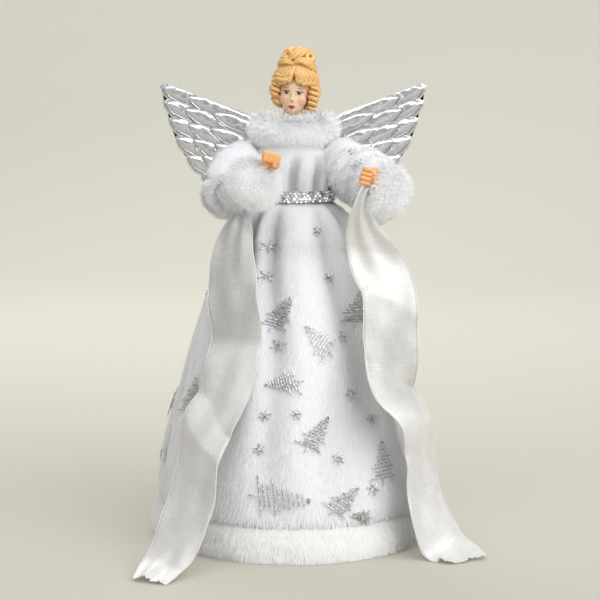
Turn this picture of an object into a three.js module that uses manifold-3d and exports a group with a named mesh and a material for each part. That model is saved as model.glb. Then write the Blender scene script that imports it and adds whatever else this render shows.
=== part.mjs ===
// Angel tree topper: a card cone that slips over the tip of a tree, dressed as a standing angel.
// Millimetres, +Z up, the figure faces -Y, and the origin is the middle of the cone's mouth.
// Left and right are the viewer's, with the figure facing the viewer.
import * as THREE from "three";
import { mergeVertices } from "three/addons/utils/BufferGeometryUtils.js";
import Module from "manifold-3d";

const wasm = await Module();
wasm.setup();

// Clearance between two pieces that are seated on each other.
const FIT = 0.3;

// Card cone
const CONE_FOOT_RADIUS = 84;
const CONE_TOP_RADIUS = 19;
const CONE_HEIGHT = 204;
const CONE_WALL = 1.6;

// Fur band at the foot of the dress
const HEM_HEIGHT = 21;
const HEM_THICKNESS = 10.5;

// Plush skirt, gathered at the waist: its folds deepen upwards, lean sideways and differ round the skirt
const SKIRT_THICKNESS = 2.4;
const SKIRT_BULGE = 13;
const SKIRT_FOLDS = 10;
const SKIRT_FOLD_DEPTH = 5;
const SKIRT_FOLD_GROWTH = 0.9;
const SKIRT_FOLD_UNEVEN = 0.45;
const SKIRT_FOLD_DRIFT = 0.12;
const SKIRT_FOLD_LEAN = 0.07;
const SKIRT_FOLD_TURN = THREE.MathUtils.degToRad(9);
const SKIRT_ROWS = [0, 0.08, 0.2, 0.33, 0.46, 0.6, 0.73, 0.85, 0.94, 1];

// Foam bust form: half widths, and rises of the waist over the cone and of the chest over the waist
const WAIST_RISE = 11.7;
const WAIST_RADIUS = 20.5;
const CHEST_RISE = 22.3;
const CHEST_RADIUS = 22.5;
const SHOULDER_RISE = 14;
const SHOULDER_TOP_RADIUS = 17.5;
const NECK_BASE_RADIUS = 9.5;
const NECK_BASE_RISE = 6;
const BODY_DEPTH_RATIO = 0.86;
const PLUG_LENGTH = 12;

// Bodice and the sequin belt round its lower edge
const BODICE_THICKNESS = 2.2;
const PLEAT_DEPTH = 1.3;
const BELT_WIDTH = 7;
const BELT_THICKNESS = 1.6;

// Fur collar: half sizes of its section and the radius of its middle
const COLLAR_RADIUS = 19.5;
const COLLAR_HALF_WIDTH = 9.7;
const COLLAR_HALF_HEIGHT = 10;
const COLLAR_RISE = 7;

// Head casting and its hair
const NECK_RADIUS = 6.4;
const NECK_LENGTH = 15;
const NECK_PEG_RADIUS = 4.4;
const NECK_PEG_LENGTH = 9;
const SKULL = new THREE.Vector3(10.2, 11.2, 12.4);
const JAW = new THREE.Vector3(7.6, 7.4, 8.6);
const SKULL_RISE = 13.5;
const HAIR_THICKNESS = 3.6;
const HAIR_FULLNESS = new THREE.Vector3(1.12, 1, 0.96);
const FACE_OPENING = new THREE.Vector3(0.92, 0.9, 1.05);
const BUN = new THREE.Vector3(11.6, 11, 8.6);
const BUN_RISE = 18.2;
const CURL_RADIUS = 3.6;
const CURL_PITCH = 4.6;
const HEAD_ROLL = THREE.MathUtils.degToRad(5);
const HEAD_YAW = THREE.MathUtils.degToRad(-7);

// Arms: a bent wire in a stuffed sleeve, with a fur cuff and a moulded hand
const SHOULDER_OUT = 30;
const SHOULDER_PIVOT_RISE = 8;
const SHOULDER_BALL = 12;
const WIRE_RADIUS = 1;
const CUFF_HALF_LENGTH = 11.6;
const CUFF_HOLE_RADIUS = 3.6;
const WRIST_RADIUS = 3.2;
const PALM = new THREE.Vector3(5.2, 4.3, 5.8);
const FINGER_RADIUS = 1.55;
const FINGER_LENGTH = 5.5;
const FINGER_COUNT = 4;

// Wings: padded foil feathers in three tiers on a backing sheet
const WING_LENGTH = 73;
const WING_TIP_RISE = 42;
const WING_ROOT_HEIGHT = 30;
const WING_LOW_REACH = 44;
const WING_LOW_DROP = 29;
const FEATHER_COUNT = 6;
const FEATHER_NOTCH = 3.4;
const FEATHER_TILT = THREE.MathUtils.degToRad(27);
const WING_PAD = 3;
const TIER_PAD = 1.2;
const TIER_SHARES = [0.72, 0.45];
const WING_BACKING = 0.8;
const WING_CENTRE_RISE = 12;
const PLATE_HALF_WIDTH = 12.4;
const PLATE_THICKNESS = 1.9;
const WING_ROOT_GAP = 0.7;

// Ribbon scarf
const RIBBON_THICKNESS = 0.8;
const RIBBON_BACK_WIDTH = 17;
const RIBBON_BACK_REACH = 0.46 * Math.PI;
const TAIL_BOW = 1.2;

// Mesh fineness
const ROUND = 40;
const SMALL_ROUND = 12;
const SECTION_STEPS = 10;
const FOLD_STEPS = 6;

const FABRIC = { roughness: 0.95, metalness: 0 };
const materials = {
  plush: new THREE.MeshStandardMaterial({ color: 0xf1f2f4, ...FABRIC }),
  fur: new THREE.MeshStandardMaterial({ color: 0xf8f8f7, ...FABRIC }),
  card: new THREE.MeshStandardMaterial({ color: 0xe6e1d6, ...FABRIC }),
  foam: new THREE.MeshStandardMaterial({ color: 0xf2efe8, ...FABRIC }),
  ribbon: new THREE.MeshStandardMaterial({ color: 0xdcdcd8, roughness: 0.45, metalness: 0.3 }),
  foil: new THREE.MeshStandardMaterial({ color: 0xc9c9c7, roughness: 0.28, metalness: 0.9 }),
  sequin: new THREE.MeshStandardMaterial({ color: 0xd4d6d8, roughness: 0.2, metalness: 1 }),
  skin: new THREE.MeshStandardMaterial({ color: 0xf0b48a, roughness: 0.5, metalness: 0 }),
  hair: new THREE.MeshStandardMaterial({ color: 0xf0b95c, roughness: 0.55, metalness: 0 }),
  wire: new THREE.MeshStandardMaterial({ color: 0x9a9a9a, roughness: 0.4, metalness: 1 }),
};

// A closed geometry as a solid that can be joined and cut.
function solidOf(geometry) {
  const loose = geometry.index ? geometry.toNonIndexed() : geometry;
  const bare = new THREE.BufferGeometry().setAttribute("position", loose.getAttribute("position"));
  const merged = mergeVertices(bare, 1e-4);
  const triVerts = new Uint32Array(merged.index.array);
  const vertProperties = merged.attributes.position.array;
  return new wasm.Manifold(new wasm.Mesh({ numProp: 3, vertProperties, triVerts }));
}

function geometryOf(solid) {
  const { vertProperties, triVerts } = solid.getMesh();
  const geometry = new THREE.BufferGeometry();
  geometry.setAttribute("position", new THREE.BufferAttribute(vertProperties, 3));
  geometry.setIndex(new THREE.BufferAttribute(triVerts, 1));
  geometry.computeVertexNormals();
  return geometry;
}

const joined = (geometries) => geometries.map(solidOf).reduce((whole, next) => whole.add(next));
const cut = (solid, ...tools) => tools.reduce((rest, tool) => rest.subtract(tool), solid);

function named(name, geometry, material) {
  const mesh = new THREE.Mesh(geometry, material);
  mesh.name = name;
  return mesh;
}

// Heights of the bust form's stations, stacked on the cone.
const waistHeight = CONE_HEIGHT + WAIST_RISE;
const chestHeight = waistHeight + CHEST_RISE;
const shoulderHeight = chestHeight + SHOULDER_PIVOT_RISE;
const wingCentreHeight = chestHeight + WING_CENTRE_RISE;

// Fronts of the wing plate behind the bodice, of the wing pads and of their highest tier.
const plateFront = (CHEST_RADIUS + FIT + BODICE_THICKNESS) * BODY_DEPTH_RATIO + FIT;
const padFront = plateFront + PLATE_THICKNESS / 2;
const reliefFront = padFront - TIER_PAD * TIER_SHARES.length;

// Turns a profile of [radius, height] pairs about +Z; a ring's profile closes on itself.
function turned(profile, segments = ROUND, depthRatio = 1) {
  const points = profile.map(([radius, height]) => new THREE.Vector2(radius, height));
  return new THREE.LatheGeometry(points, segments).rotateX(Math.PI / 2).scale(1, depthRatio, 1);
}

const closedRing = (profile) => [...profile, profile[0]];

// Moves every vertex of a geometry to where place(vertex) puts it.
function reshaped(geometry, place) {
  const position = geometry.getAttribute("position");
  const vertex = new THREE.Vector3();
  for (let i = 0; i < position.count; i++) {
    place(vertex.fromBufferAttribute(position, i));
    position.setXYZ(i, vertex.x, vertex.y, vertex.z);
  }
  return geometry;
}

// Skins a row of rings that run anticlockwise about the path; each end closes across its ring.
function lofted(rings) {
  const count = rings[0].length;
  const corners = [];
  const quad = (a, b, c, d) => corners.push(a, b, c, a, c, d);
  for (let i = 0; i + 1 < rings.length; i++) {
    for (let k = 0; k < count; k++) {
      const next = (k + 1) % count;
      quad(rings[i][k], rings[i][next], rings[i + 1][next], rings[i + 1][k]);
    }
  }
  const first = rings[0];
  const last = rings.at(-1);
  for (let k = 0; k < count / 2 - 1; k++) {
    const far = count - 1 - k;
    quad(last[k], last[k + 1], last[far - 1], last[far]);
    quad(first[far], first[far - 1], first[k + 1], first[k]);
  }
  return new THREE.BufferGeometry().setFromPoints(corners);
}

// A round tube whose radius along the curve, from 0 to 1, is radiusAt(share).
function tube(curve, radiusAt, steps, sides = SMALL_ROUND) {
  const frames = curve.computeFrenetFrames(steps);
  const rings = [];
  for (let i = 0; i <= steps; i++) {
    const middle = curve.getPointAt(i / steps);
    const radius = radiusAt(i / steps);
    rings.push(
      Array.from({ length: sides }, (_, k) => {
        const angle = (2 * Math.PI * k) / sides;
        return middle
          .clone()
          .addScaledVector(frames.normals[i], radius * Math.cos(angle))
          .addScaledVector(frames.binormals[i], radius * Math.sin(angle));
      }),
    );
  }
  return lofted(rings);
}

// A flat band along stations of {at, turn, width}: turn is the compass angle of its width.
function band(stations, thickness, bow, stepsPerStation = 2, across = 3) {
  const stops = stations.map((s) => new THREE.Vector3(...s.at));
  const route = new THREE.CatmullRomCurve3(stops, false, "centripetal");
  const steps = (stations.length - 1) * stepsPerStation;
  const rings = [];
  for (let i = 0; i <= steps; i++) {
    const share = i / steps;
    const place = share * (stations.length - 1);
    const low = Math.min(Math.floor(place), stations.length - 2);
    const mix = (key) => THREE.MathUtils.lerp(stations[low][key], stations[low + 1][key], place - low);
    const along = route.getTangent(share);
    const turn = THREE.MathUtils.degToRad(mix("turn"));
    const lean = THREE.MathUtils.degToRad(mix("lean"));
    const level = Math.cos(lean);
    const sideways = new THREE.Vector3(Math.cos(turn) * level, Math.sin(turn) * level, Math.sin(lean));
    sideways.addScaledVector(along, -sideways.dot(along)).normalize();
    const outward = along.clone().cross(sideways);
    const middle = route.getPoint(share);
    const at = (s, face) =>
      middle
        .clone()
        .addScaledVector(sideways, (s * mix("width")) / 2)
        .addScaledVector(outward, bow * (1 - s * s) + (face * thickness) / 2);
    const spots = Array.from({ length: across + 1 }, (_, k) => 1 - (2 * k) / across);
    rings.push([...spots.map((s) => at(s, 1)), ...spots.toReversed().map((s) => at(s, -1))]);
  }
  return lofted(rings);
}

function ellipsoid(size, centre, columns = 16, rows = 10) {
  return new THREE.SphereGeometry(1, columns, rows)
    .rotateX(Math.PI / 2)
    .scale(size.x, size.y, size.z)
    .translate(centre.x, centre.y, centre.z);
}

const coneRadius = (height) => THREE.MathUtils.lerp(CONE_FOOT_RADIUS, CONE_TOP_RADIUS, height / CONE_HEIGHT);

function makeCone() {
  const profile = [
    [CONE_FOOT_RADIUS, 0],
    [CONE_TOP_RADIUS, CONE_HEIGHT],
    [CONE_TOP_RADIUS - CONE_WALL, CONE_HEIGHT],
    [CONE_FOOT_RADIUS - CONE_WALL, 0],
  ];
  return named("cone_core", turned(closedRing(profile)), materials.card);
}

// The hem's fur band lies on the cone's slope, rounded outside and flat underneath.
const hemOutside = CONE_FOOT_RADIUS + FIT + HEM_THICKNESS;
function makeHem() {
  const inner = (height) => coneRadius(height) + FIT;
  const roll = HEM_HEIGHT / 3;
  const profile = [
    [inner(0), 0],
    [hemOutside - roll / 2, 0],
    [hemOutside, roll],
    [hemOutside - roll / 6, HEM_HEIGHT - roll],
    [hemOutside - roll, HEM_HEIGHT],
    [inner(HEM_HEIGHT), HEM_HEIGHT],
  ];
  return named("hem_trim", turned(closedRing(profile), ROUND + 8), materials.fur);
}

// The skirt's outer radius at a share of its height, before its folds.
const skirtFoot = HEM_HEIGHT + FIT;
const skirtTop = waistHeight - FIT / 2;
const skirtFootRadius = hemOutside - HEM_HEIGHT / 3;
const skirtTopRadius = WAIST_RADIUS + FIT + BODICE_THICKNESS + FIT + BELT_THICKNESS + PLEAT_DEPTH;
function skirtRadius(share) {
  const straight = THREE.MathUtils.lerp(skirtFootRadius, skirtTopRadius, share);
  return straight + SKIRT_BULGE * Math.sqrt(Math.sin(Math.PI * share));
}

// How far a fold moves the skirt's cloth in or out; around is measured from the front towards the right.
function skirtFold(around, share) {
  const swell = Math.max(Math.sin(Math.PI * share), 0) ** 0.7;
  const drift = SKIRT_FOLD_DRIFT * Math.sin(5 * around + 3 * share) + SKIRT_FOLD_LEAN * Math.sin(9 * share);
  const even = Math.cos(SKIRT_FOLDS * (around - SKIRT_FOLD_TURN + drift));
  const wave = even + SKIRT_FOLD_UNEVEN * Math.sin(3 * around + 7 * share);
  return (SKIRT_FOLD_DEPTH / 2) * swell * (wave * (1 + SKIRT_FOLD_GROWTH * share) - 1);
}

function makeSkirt() {
  const heightAt = (share) => THREE.MathUtils.lerp(skirtFoot, skirtTop, share);
  const topWall = skirtTopRadius - WAIST_RADIUS - FIT;
  const wallAt = (share) => THREE.MathUtils.lerp(SKIRT_THICKNESS, topWall, share ** 6);
  const outer = SKIRT_ROWS.map((share) => [skirtRadius(share), heightAt(share)]);
  const inner = SKIRT_ROWS.map((share) => [skirtRadius(share) - wallAt(share), heightAt(share)]).reverse();
  const geometry = turned(closedRing([...outer, ...inner]), SKIRT_FOLDS * FOLD_STEPS);
  reshaped(geometry, (vertex) => {
    const share = (vertex.z - skirtFoot) / (skirtTop - skirtFoot);
    const around = Math.atan2(vertex.x, -vertex.y);
    const radius = Math.hypot(vertex.x, vertex.y);
    const grown = (radius + skirtFold(around, share)) / radius;
    const flat = THREE.MathUtils.lerp(1, BODY_DEPTH_RATIO, share ** 3);
    vertex.set(vertex.x * grown, vertex.y * grown * flat, vertex.z);
  });
  return named("skirt", geometry, materials.plush);
}

// The bust form's half width, grown by offset, from the cone's top to the neck.
const torsoFoot = CONE_HEIGHT + FIT;
const shoulderTop = chestHeight + SHOULDER_RISE;
const neckBase = shoulderTop + NECK_BASE_RISE;
const bustProfile = (offset) => [
  [WAIST_RADIUS + offset, waistHeight + FIT / 2],
  [THREE.MathUtils.lerp(WAIST_RADIUS, CHEST_RADIUS, 0.7) + offset, (waistHeight + chestHeight) / 2],
  [CHEST_RADIUS + offset, chestHeight],
  [SHOULDER_TOP_RADIUS + offset, shoulderTop],
];

const armholes = (margin) =>
  [-1, 1].map((side) => {
    const size = new THREE.Vector3().setScalar(SHOULDER_BALL + margin);
    return solidOf(ellipsoid(size, new THREE.Vector3(side * SHOULDER_OUT, 0, shoulderHeight), 14, 9));
  });

function rodAlong(axis, radius, length, sides = SMALL_ROUND) {
  const turn = new THREE.Quaternion().setFromUnitVectors(new THREE.Vector3(0, 1, 0), axis);
  return new THREE.CylinderGeometry(radius, radius, length, sides).applyQuaternion(turn);
}
const ACROSS = new THREE.Vector3(1, 0, 0);
const UP = new THREE.Vector3(0, 0, 1);

function makeTorso() {
  const bust = [
    [0, torsoFoot],
    [WAIST_RADIUS, torsoFoot],
    ...bustProfile(0),
    [NECK_BASE_RADIUS, neckBase],
    [0, neckBase],
  ];
  const plugRadius = CONE_TOP_RADIUS - CONE_WALL - FIT;
  const plug = rodAlong(UP, plugRadius, PLUG_LENGTH + 1, ROUND / 2);
  plug.translate(0, 0, torsoFoot - PLUG_LENGTH / 2 + 0.5);
  const socket = rodAlong(UP, NECK_PEG_RADIUS + FIT, NECK_PEG_LENGTH + FIT + 1, ROUND / 2);
  socket.translate(0, 0, neckBase - (NECK_PEG_LENGTH + FIT - 1) / 2);
  const wireBore = rodAlong(ACROSS, WIRE_RADIUS + FIT, 4 * CHEST_RADIUS, 8).translate(0, 0, shoulderHeight);
  const body = joined([turned(bust, ROUND - 8, BODY_DEPTH_RATIO), plug]);
  const solid = cut(body, solidOf(socket), solidOf(wireBore), ...armholes(2 * FIT));
  return named("torso_form", geometryOf(solid), materials.foam);
}

// One straight wire runs from shoulder to shoulder, and each sleeve turns on its end.
function makeShoulderWire() {
  const wire = rodAlong(ACROSS, WIRE_RADIUS, 2 * (SHOULDER_OUT - WIRE_RADIUS - FIT), 8);
  return named("shoulder_wire", wire.translate(0, 0, shoulderHeight), materials.wire);
}

function makeBodice() {
  const outside = bustProfile(FIT + BODICE_THICKNESS);
  const inside = bustProfile(FIT).toReversed();
  const geometry = turned(closedRing([...outside, ...inside]), ROUND, BODY_DEPTH_RATIO);
  const bustOutside = CHEST_RADIUS + FIT + BODICE_THICKNESS / 2;
  reshaped(geometry, (vertex) => {
    const radius = Math.hypot(vertex.x, vertex.y / BODY_DEPTH_RATIO);
    const around = Math.atan2(vertex.x, -vertex.y);
    const front = Math.max(Math.cos(around), 0);
    const onOutside = radius > bustOutside - (CHEST_RADIUS - SHOULDER_TOP_RADIUS) * 0.4;
    const pleat = onOutside ? PLEAT_DEPTH * front * Math.cos(9 * around) ** 2 : 0;
    vertex.multiply(new THREE.Vector3((radius + pleat) / radius, (radius + pleat) / radius, 1));
  });
  const solid = cut(solidOf(geometry), ...armholes(2 * FIT));
  return named("bodice", geometryOf(solid), materials.plush);
}

function makeBelt() {
  const inner = WAIST_RADIUS + FIT + BODICE_THICKNESS + PLEAT_DEPTH + FIT;
  const lift = (CHEST_RADIUS - WAIST_RADIUS) * (BELT_WIDTH / (chestHeight - waistHeight)) * 1.4;
  const low = waistHeight + FIT / 2;
  const profile = [
    [inner, low],
    [inner + BELT_THICKNESS, low],
    [inner + lift + BELT_THICKNESS, low + BELT_WIDTH],
    [inner + lift, low + BELT_WIDTH],
  ];
  return named("belt", turned(closedRing(profile), ROUND, BODY_DEPTH_RATIO), materials.sequin);
}

function makeCollar() {
  const middle = shoulderTop + COLLAR_RISE;
  const section = new THREE.EllipseCurve(COLLAR_RADIUS, middle, COLLAR_HALF_WIDTH, COLLAR_HALF_HEIGHT);
  const profile = section.getPoints(SECTION_STEPS).map((point) => [point.x, point.y]);
  profile[profile.length - 1] = profile[0];
  const seatOffset = FIT + BODICE_THICKNESS + PLEAT_DEPTH / 2 + FIT;
  const seat = [
    [0, waistHeight],
    ...bustProfile(seatOffset),
    [SHOULDER_TOP_RADIUS + seatOffset, shoulderTop + FIT],
    [NECK_BASE_RADIUS + FIT, neckBase + FIT],
    [0, neckBase + FIT],
  ];
  const ring = turned(profile, ROUND - 12, BODY_DEPTH_RATIO);
  const wingRoom = new THREE.BoxGeometry(4 * COLLAR_RADIUS, COLLAR_RADIUS, 4 * COLLAR_RADIUS);
  wingRoom.translate(0, reliefFront - 2 * FIT + COLLAR_RADIUS / 2, neckBase);
  const bodySeat = solidOf(turned(seat, ROUND - 12, BODY_DEPTH_RATIO));
  const solid = cut(solidOf(ring), bodySeat, solidOf(wingRoom), ...armholes(4 * FIT));
  const largest = solid.decompose().reduce((a, b) => (a.volume() > b.volume() ? a : b));
  return named("collar", geometryOf(largest), materials.fur);
}

// Head: its own group stands on the neck base and carries the head's slight roll and turn.
const skullCentre = new THREE.Vector3(0, 0, NECK_LENGTH + SKULL_RISE);
const jawCentre = new THREE.Vector3(0, -4, skullCentre.z - SKULL.z * 0.58);
const noseSize = new THREE.Vector3(1.5, 2, 2.6);
const noseCentre = new THREE.Vector3(0, -SKULL.y - 0.2, skullCentre.z - SKULL.z * 0.45);
const headTilt = new THREE.Matrix4().makeRotationFromEuler(new THREE.Euler(0, HEAD_ROLL, HEAD_YAW));
const neckTop = new THREE.Vector3(0, 0, NECK_LENGTH);

// Leans a geometry of the head about the top of the neck.
function tilted(geometry) {
  geometry.translate(0, 0, -neckTop.z).applyMatrix4(headTilt);
  return geometry.translate(0, 0, neckTop.z);
}

function headForms(margin) {
  const grown = (size) => size.clone().addScalar(margin);
  return [
    ellipsoid(grown(SKULL), skullCentre, 16, 10),
    ellipsoid(grown(JAW), jawCentre, 12, 8),
    ellipsoid(grown(noseSize), noseCentre, 8, 6),
  ].map(tilted);
}

function makeHead() {
  const intoSkull = 6;
  const intoNeck = 2;
  const neck = rodAlong(UP, NECK_RADIUS, NECK_LENGTH + intoSkull, ROUND / 2);
  neck.translate(0, 0, FIT + (NECK_LENGTH + intoSkull) / 2);
  const peg = rodAlong(UP, NECK_PEG_RADIUS, NECK_PEG_LENGTH + intoNeck, ROUND / 2);
  peg.translate(0, 0, (intoNeck - NECK_PEG_LENGTH) / 2);
  return named("head", geometryOf(joined([...headForms(0), neck, peg])), materials.skin);
}

// Hair: a cap over the skull, open at the face, with a bun on top and a row of curls down each side.
function makeHair() {
  const capSize = SKULL.clone().addScalar(HAIR_THICKNESS).multiply(HAIR_FULLNESS);
  const capCentre = skullCentre.clone().add(new THREE.Vector3(0, 1.5, 1));
  const bunCentre = skullCentre.clone().add(new THREE.Vector3(0, 0.5, BUN_RISE));
  const faceSize = SKULL.clone().multiply(FACE_OPENING);
  const faceCentre = skullCentre.clone().add(new THREE.Vector3(0, -SKULL.y * 1.05, -SKULL.z * 0.78));
  const underside = new THREE.BoxGeometry(4 * SKULL.x, 4 * SKULL.y, 2 * SKULL.z);
  underside.translate(0, 0, skullCentre.z - SKULL.z * 1.75);
  const curls = [];
  for (const side of [-1, 1]) {
    for (let k = 0; k < (side > 0 ? 4 : 3); k++) {
      const height = skullCentre.z + SKULL.z * 0.2 - k * CURL_PITCH;
      const out = side * (SKULL.x + CURL_RADIUS - 0.6 * k);
      const size = new THREE.Vector3(CURL_RADIUS, CURL_RADIUS * 1.2, CURL_RADIUS);
      curls.push(ellipsoid(size, new THREE.Vector3(out, -2.5, height), 8, 6));
    }
  }
  const face = ellipsoid(faceSize, faceCentre, 12, 8);
  const cap = cut(solidOf(ellipsoid(capSize, capCentre, 18, 10)), solidOf(face), solidOf(underside));
  const bun = ellipsoid(BUN, bunCentre, 14, 9);
  const leaned = solidOf(tilted(geometryOf(cap.add(joined([bun, ...curls])))));
  return named("hair", geometryOf(cut(leaned, ...headForms(FIT).map(solidOf))), materials.hair);
}

function makeHeadGroup() {
  const group = new THREE.Group();
  group.position.set(0, 0, neckBase);
  group.add(makeHead(), makeHair());
  return group;
}

// One arm: route holds elbow and cuff centre, measured from the shoulder; aim is the way the hand points.
const ARMS = {
  left: {
    side: -1,
    upper: [-13.5, -9.5, -11],
    elbow: [-15.5, -19, -25],
    cuff: [4, -50, -14.5],
    cuffRadius: 17,
    aim: [0.66, -0.4, 0.64],
    handReach: 17.8,
    handTurn: 1.3,
    tailDrop: 37.5,
  },
  right: {
    side: 1,
    upper: [10, -7, -4],
    elbow: [20, -15, -10],
    cuff: [29, -45, -24],
    cuffRadius: 15.5,
    aim: [-0.66, -0.6, 0.45],
    handReach: 17.8,
    handTurn: 0.2,
    tailDrop: 20.8,
  },
};
const SLEEVE_RADII = [SHOULDER_BALL, 12.5, 14.5, 12.5, 8];

function sleeveRadius(share) {
  const place = share * (SLEEVE_RADII.length - 1);
  const low = Math.min(Math.floor(place), SLEEVE_RADII.length - 2);
  return THREE.MathUtils.lerp(SLEEVE_RADII[low], SLEEVE_RADII[low + 1], place - low);
}

function handGeometry(arm, aim) {
  const palm = ellipsoid(PALM, new THREE.Vector3(), 10, 7);
  const wristLength = arm.handReach - FIT;
  const wrist = rodAlong(UP, WRIST_RADIUS, wristLength, 10).translate(0, 0, -wristLength / 2);
  const forms = [palm, wrist];
  for (let k = 0; k < FINGER_COUNT; k++) {
    const finger = new THREE.CapsuleGeometry(FINGER_RADIUS, FINGER_LENGTH, 1, 6);
    const spread = (k - (FINGER_COUNT - 1) / 2) * FINGER_RADIUS * 1.75;
    forms.push(finger.rotateZ(Math.PI / 2).translate(0.6, -PALM.y * 0.72, spread + 1.2));
  }
  const thumb = new THREE.CapsuleGeometry(FINGER_RADIUS, FINGER_LENGTH * 0.7, 1, 6);
  forms.push(thumb.rotateX(0.5).translate(-PALM.x * 0.75, -PALM.y * 0.4, 3));
  const turn = new THREE.Quaternion().setFromUnitVectors(UP, aim);
  const twist = new THREE.Quaternion().setFromAxisAngle(UP, arm.handTurn);
  return geometryOf(joined(forms)).applyQuaternion(turn.multiply(twist));
}

function makeArm(name, arm) {
  const group = new THREE.Group();
  group.position.set(arm.side * SHOULDER_OUT, 0, shoulderHeight);
  const aim = new THREE.Vector3(...arm.aim).normalize();
  const cuffCentre = new THREE.Vector3(...arm.cuff);
  const start = new THREE.Vector3();
  const knots = [start, new THREE.Vector3(...arm.upper), new THREE.Vector3(...arm.elbow), cuffCentre];
  const route = new THREE.CatmullRomCurve3(knots, false, "centripetal");

  const ball = ellipsoid(new THREE.Vector3().setScalar(SHOULDER_BALL), start, 14, 9);
  const wireEnd = cuffCentre.clone().addScaledVector(aim, -WIRE_RADIUS - FIT);
  const wireRoute = new THREE.CatmullRomCurve3([...knots.slice(0, -1), wireEnd], false, "centripetal");
  const bore = tube(wireRoute, () => WIRE_RADIUS + FIT, 9, 8);
  const sleeveForm = (margin) => tube(route, (share) => sleeveRadius(share) + margin, 9);
  const pivotBore = rodAlong(ACROSS, WIRE_RADIUS + FIT, 2 * SHOULDER_BALL, 8);
  pivotBore.translate(-arm.side * (SHOULDER_BALL - WIRE_RADIUS), 0, 0);
  const hole = rodAlong(aim, CUFF_HOLE_RADIUS, CUFF_HALF_LENGTH * 4, SMALL_ROUND).translate(...arm.cuff);
  const wristRoom = solidOf(hole);
  const sleeveBody = solidOf(ball).add(solidOf(sleeveForm(0)));
  const sleeve = cut(sleeveBody, solidOf(bore), solidOf(pivotBore), wristRoom);
  const sleevePiece = sleeve.decompose().reduce((a, b) => (a.volume() > b.volume() ? a : b));

  const section = new THREE.EllipseCurve(0, 0, arm.cuffRadius, CUFF_HALF_LENGTH, -Math.PI / 2, Math.PI / 2);
  const profile = section.getPoints(SECTION_STEPS).map((point) => [Math.max(point.x, 0), point.y]);
  profile[0][0] = 0;
  profile[SECTION_STEPS][0] = 0;
  const facing = new THREE.Quaternion().setFromUnitVectors(UP, aim);
  const ring = turned(profile, ROUND / 2).applyQuaternion(facing).translate(...arm.cuff);
  const cuff = cut(solidOf(ring), solidOf(sleeveForm(FIT)), wristRoom);
  const cuffPiece = cuff.decompose().reduce((a, b) => (a.volume() > b.volume() ? a : b));

  const hand = handGeometry(arm, aim).translate(...cuffCentre.clone().addScaledVector(aim, arm.handReach));
  group.add(
    named(`${name}_sleeve`, geometryOf(sleevePiece), materials.plush),
    named(`${name}_cuff`, geometryOf(cuffPiece), materials.fur),
    named(`${name}_hand`, hand, materials.skin),
    named(`${name}_arm_wire`, tube(wireRoute, () => WIRE_RADIUS, 9, 8), materials.wire),
  );
  return group;
}

// Outline of one wing tier in the wing's own plane, x outwards from the root and y up.
function featherOutline(side, share) {
  const tips = Array.from({ length: FEATHER_COUNT + 1 }, (_, k) => {
    const part = k / FEATHER_COUNT;
    const out = THREE.MathUtils.lerp(WING_LENGTH, WING_LOW_REACH, part ** 1.15);
    const rise = THREE.MathUtils.lerp(WING_TIP_RISE, -WING_LOW_DROP, part);
    return new THREE.Vector2(out, rise).multiplyScalar(share);
  });
  const origin = new THREE.Vector2();
  const inwards = new THREE.Vector2(-FEATHER_NOTCH * share, 0).rotateAround(origin, FEATHER_TILT);
  const half = WING_ROOT_HEIGHT / 2;
  const shape = new THREE.Shape();
  shape.moveTo(0, -half);
  for (let k = FEATHER_COUNT; k > 0; k--) {
    const notch = tips[k].clone().lerp(tips[k - 1], 0.12).add(inwards);
    const crown = tips[k - 1].clone().lerp(tips[k], 0.55).addScaledVector(inwards, -0.25);
    shape.lineTo(notch.x, notch.y);
    shape.quadraticCurveTo(crown.x, crown.y, tips[k - 1].x, tips[k - 1].y);
  }
  const lead = tips[0].clone().lerp(new THREE.Vector2(0, half), 0.5).add(new THREE.Vector2(0, share * 2));
  shape.quadraticCurveTo(lead.x, lead.y, 0, half);
  const points = shape.getPoints(3).map((point) => new THREE.Vector2(side * point.x, point.y));
  return new THREE.Shape(points);
}

// A sheet cut to an outline, standing in the XZ plane, from front to front + thickness along +Y.
function panel(outline, thickness, front) {
  const geometry = new THREE.ExtrudeGeometry(outline, { depth: thickness, bevelEnabled: false });
  return geometry.rotateX(Math.PI / 2).translate(0, front + thickness, 0);
}

function makeWing(name, side) {
  const group = new THREE.Group();
  group.position.set(side * (PLATE_HALF_WIDTH + WING_ROOT_GAP), 0, wingCentreHeight);
  const layers = [panel(featherOutline(side, 1), WING_PAD, padFront)];
  TIER_SHARES.forEach((share, k) => {
    const depth = TIER_PAD * (k + 1);
    layers.push(panel(featherOutline(side, share), depth + 0.5, padFront - depth));
  });
  const backing = panel(featherOutline(side, 1), WING_BACKING, padFront + WING_PAD + FIT);
  group.add(
    named(`${name}_wing`, geometryOf(joined(layers)), materials.foil),
    named(`${name}_wing_backing`, backing, materials.foil),
  );
  return group;
}

// Card plate glued to the bodice's back, between the two wing roots.
function makeWingPlate() {
  const plate = new THREE.BoxGeometry(2 * PLATE_HALF_WIDTH, PLATE_THICKNESS, WING_ROOT_HEIGHT);
  plate.translate(0, plateFront + PLATE_THICKNESS / 2, wingCentreHeight);
  return named("wing_plate", plate, materials.card);
}

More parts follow.
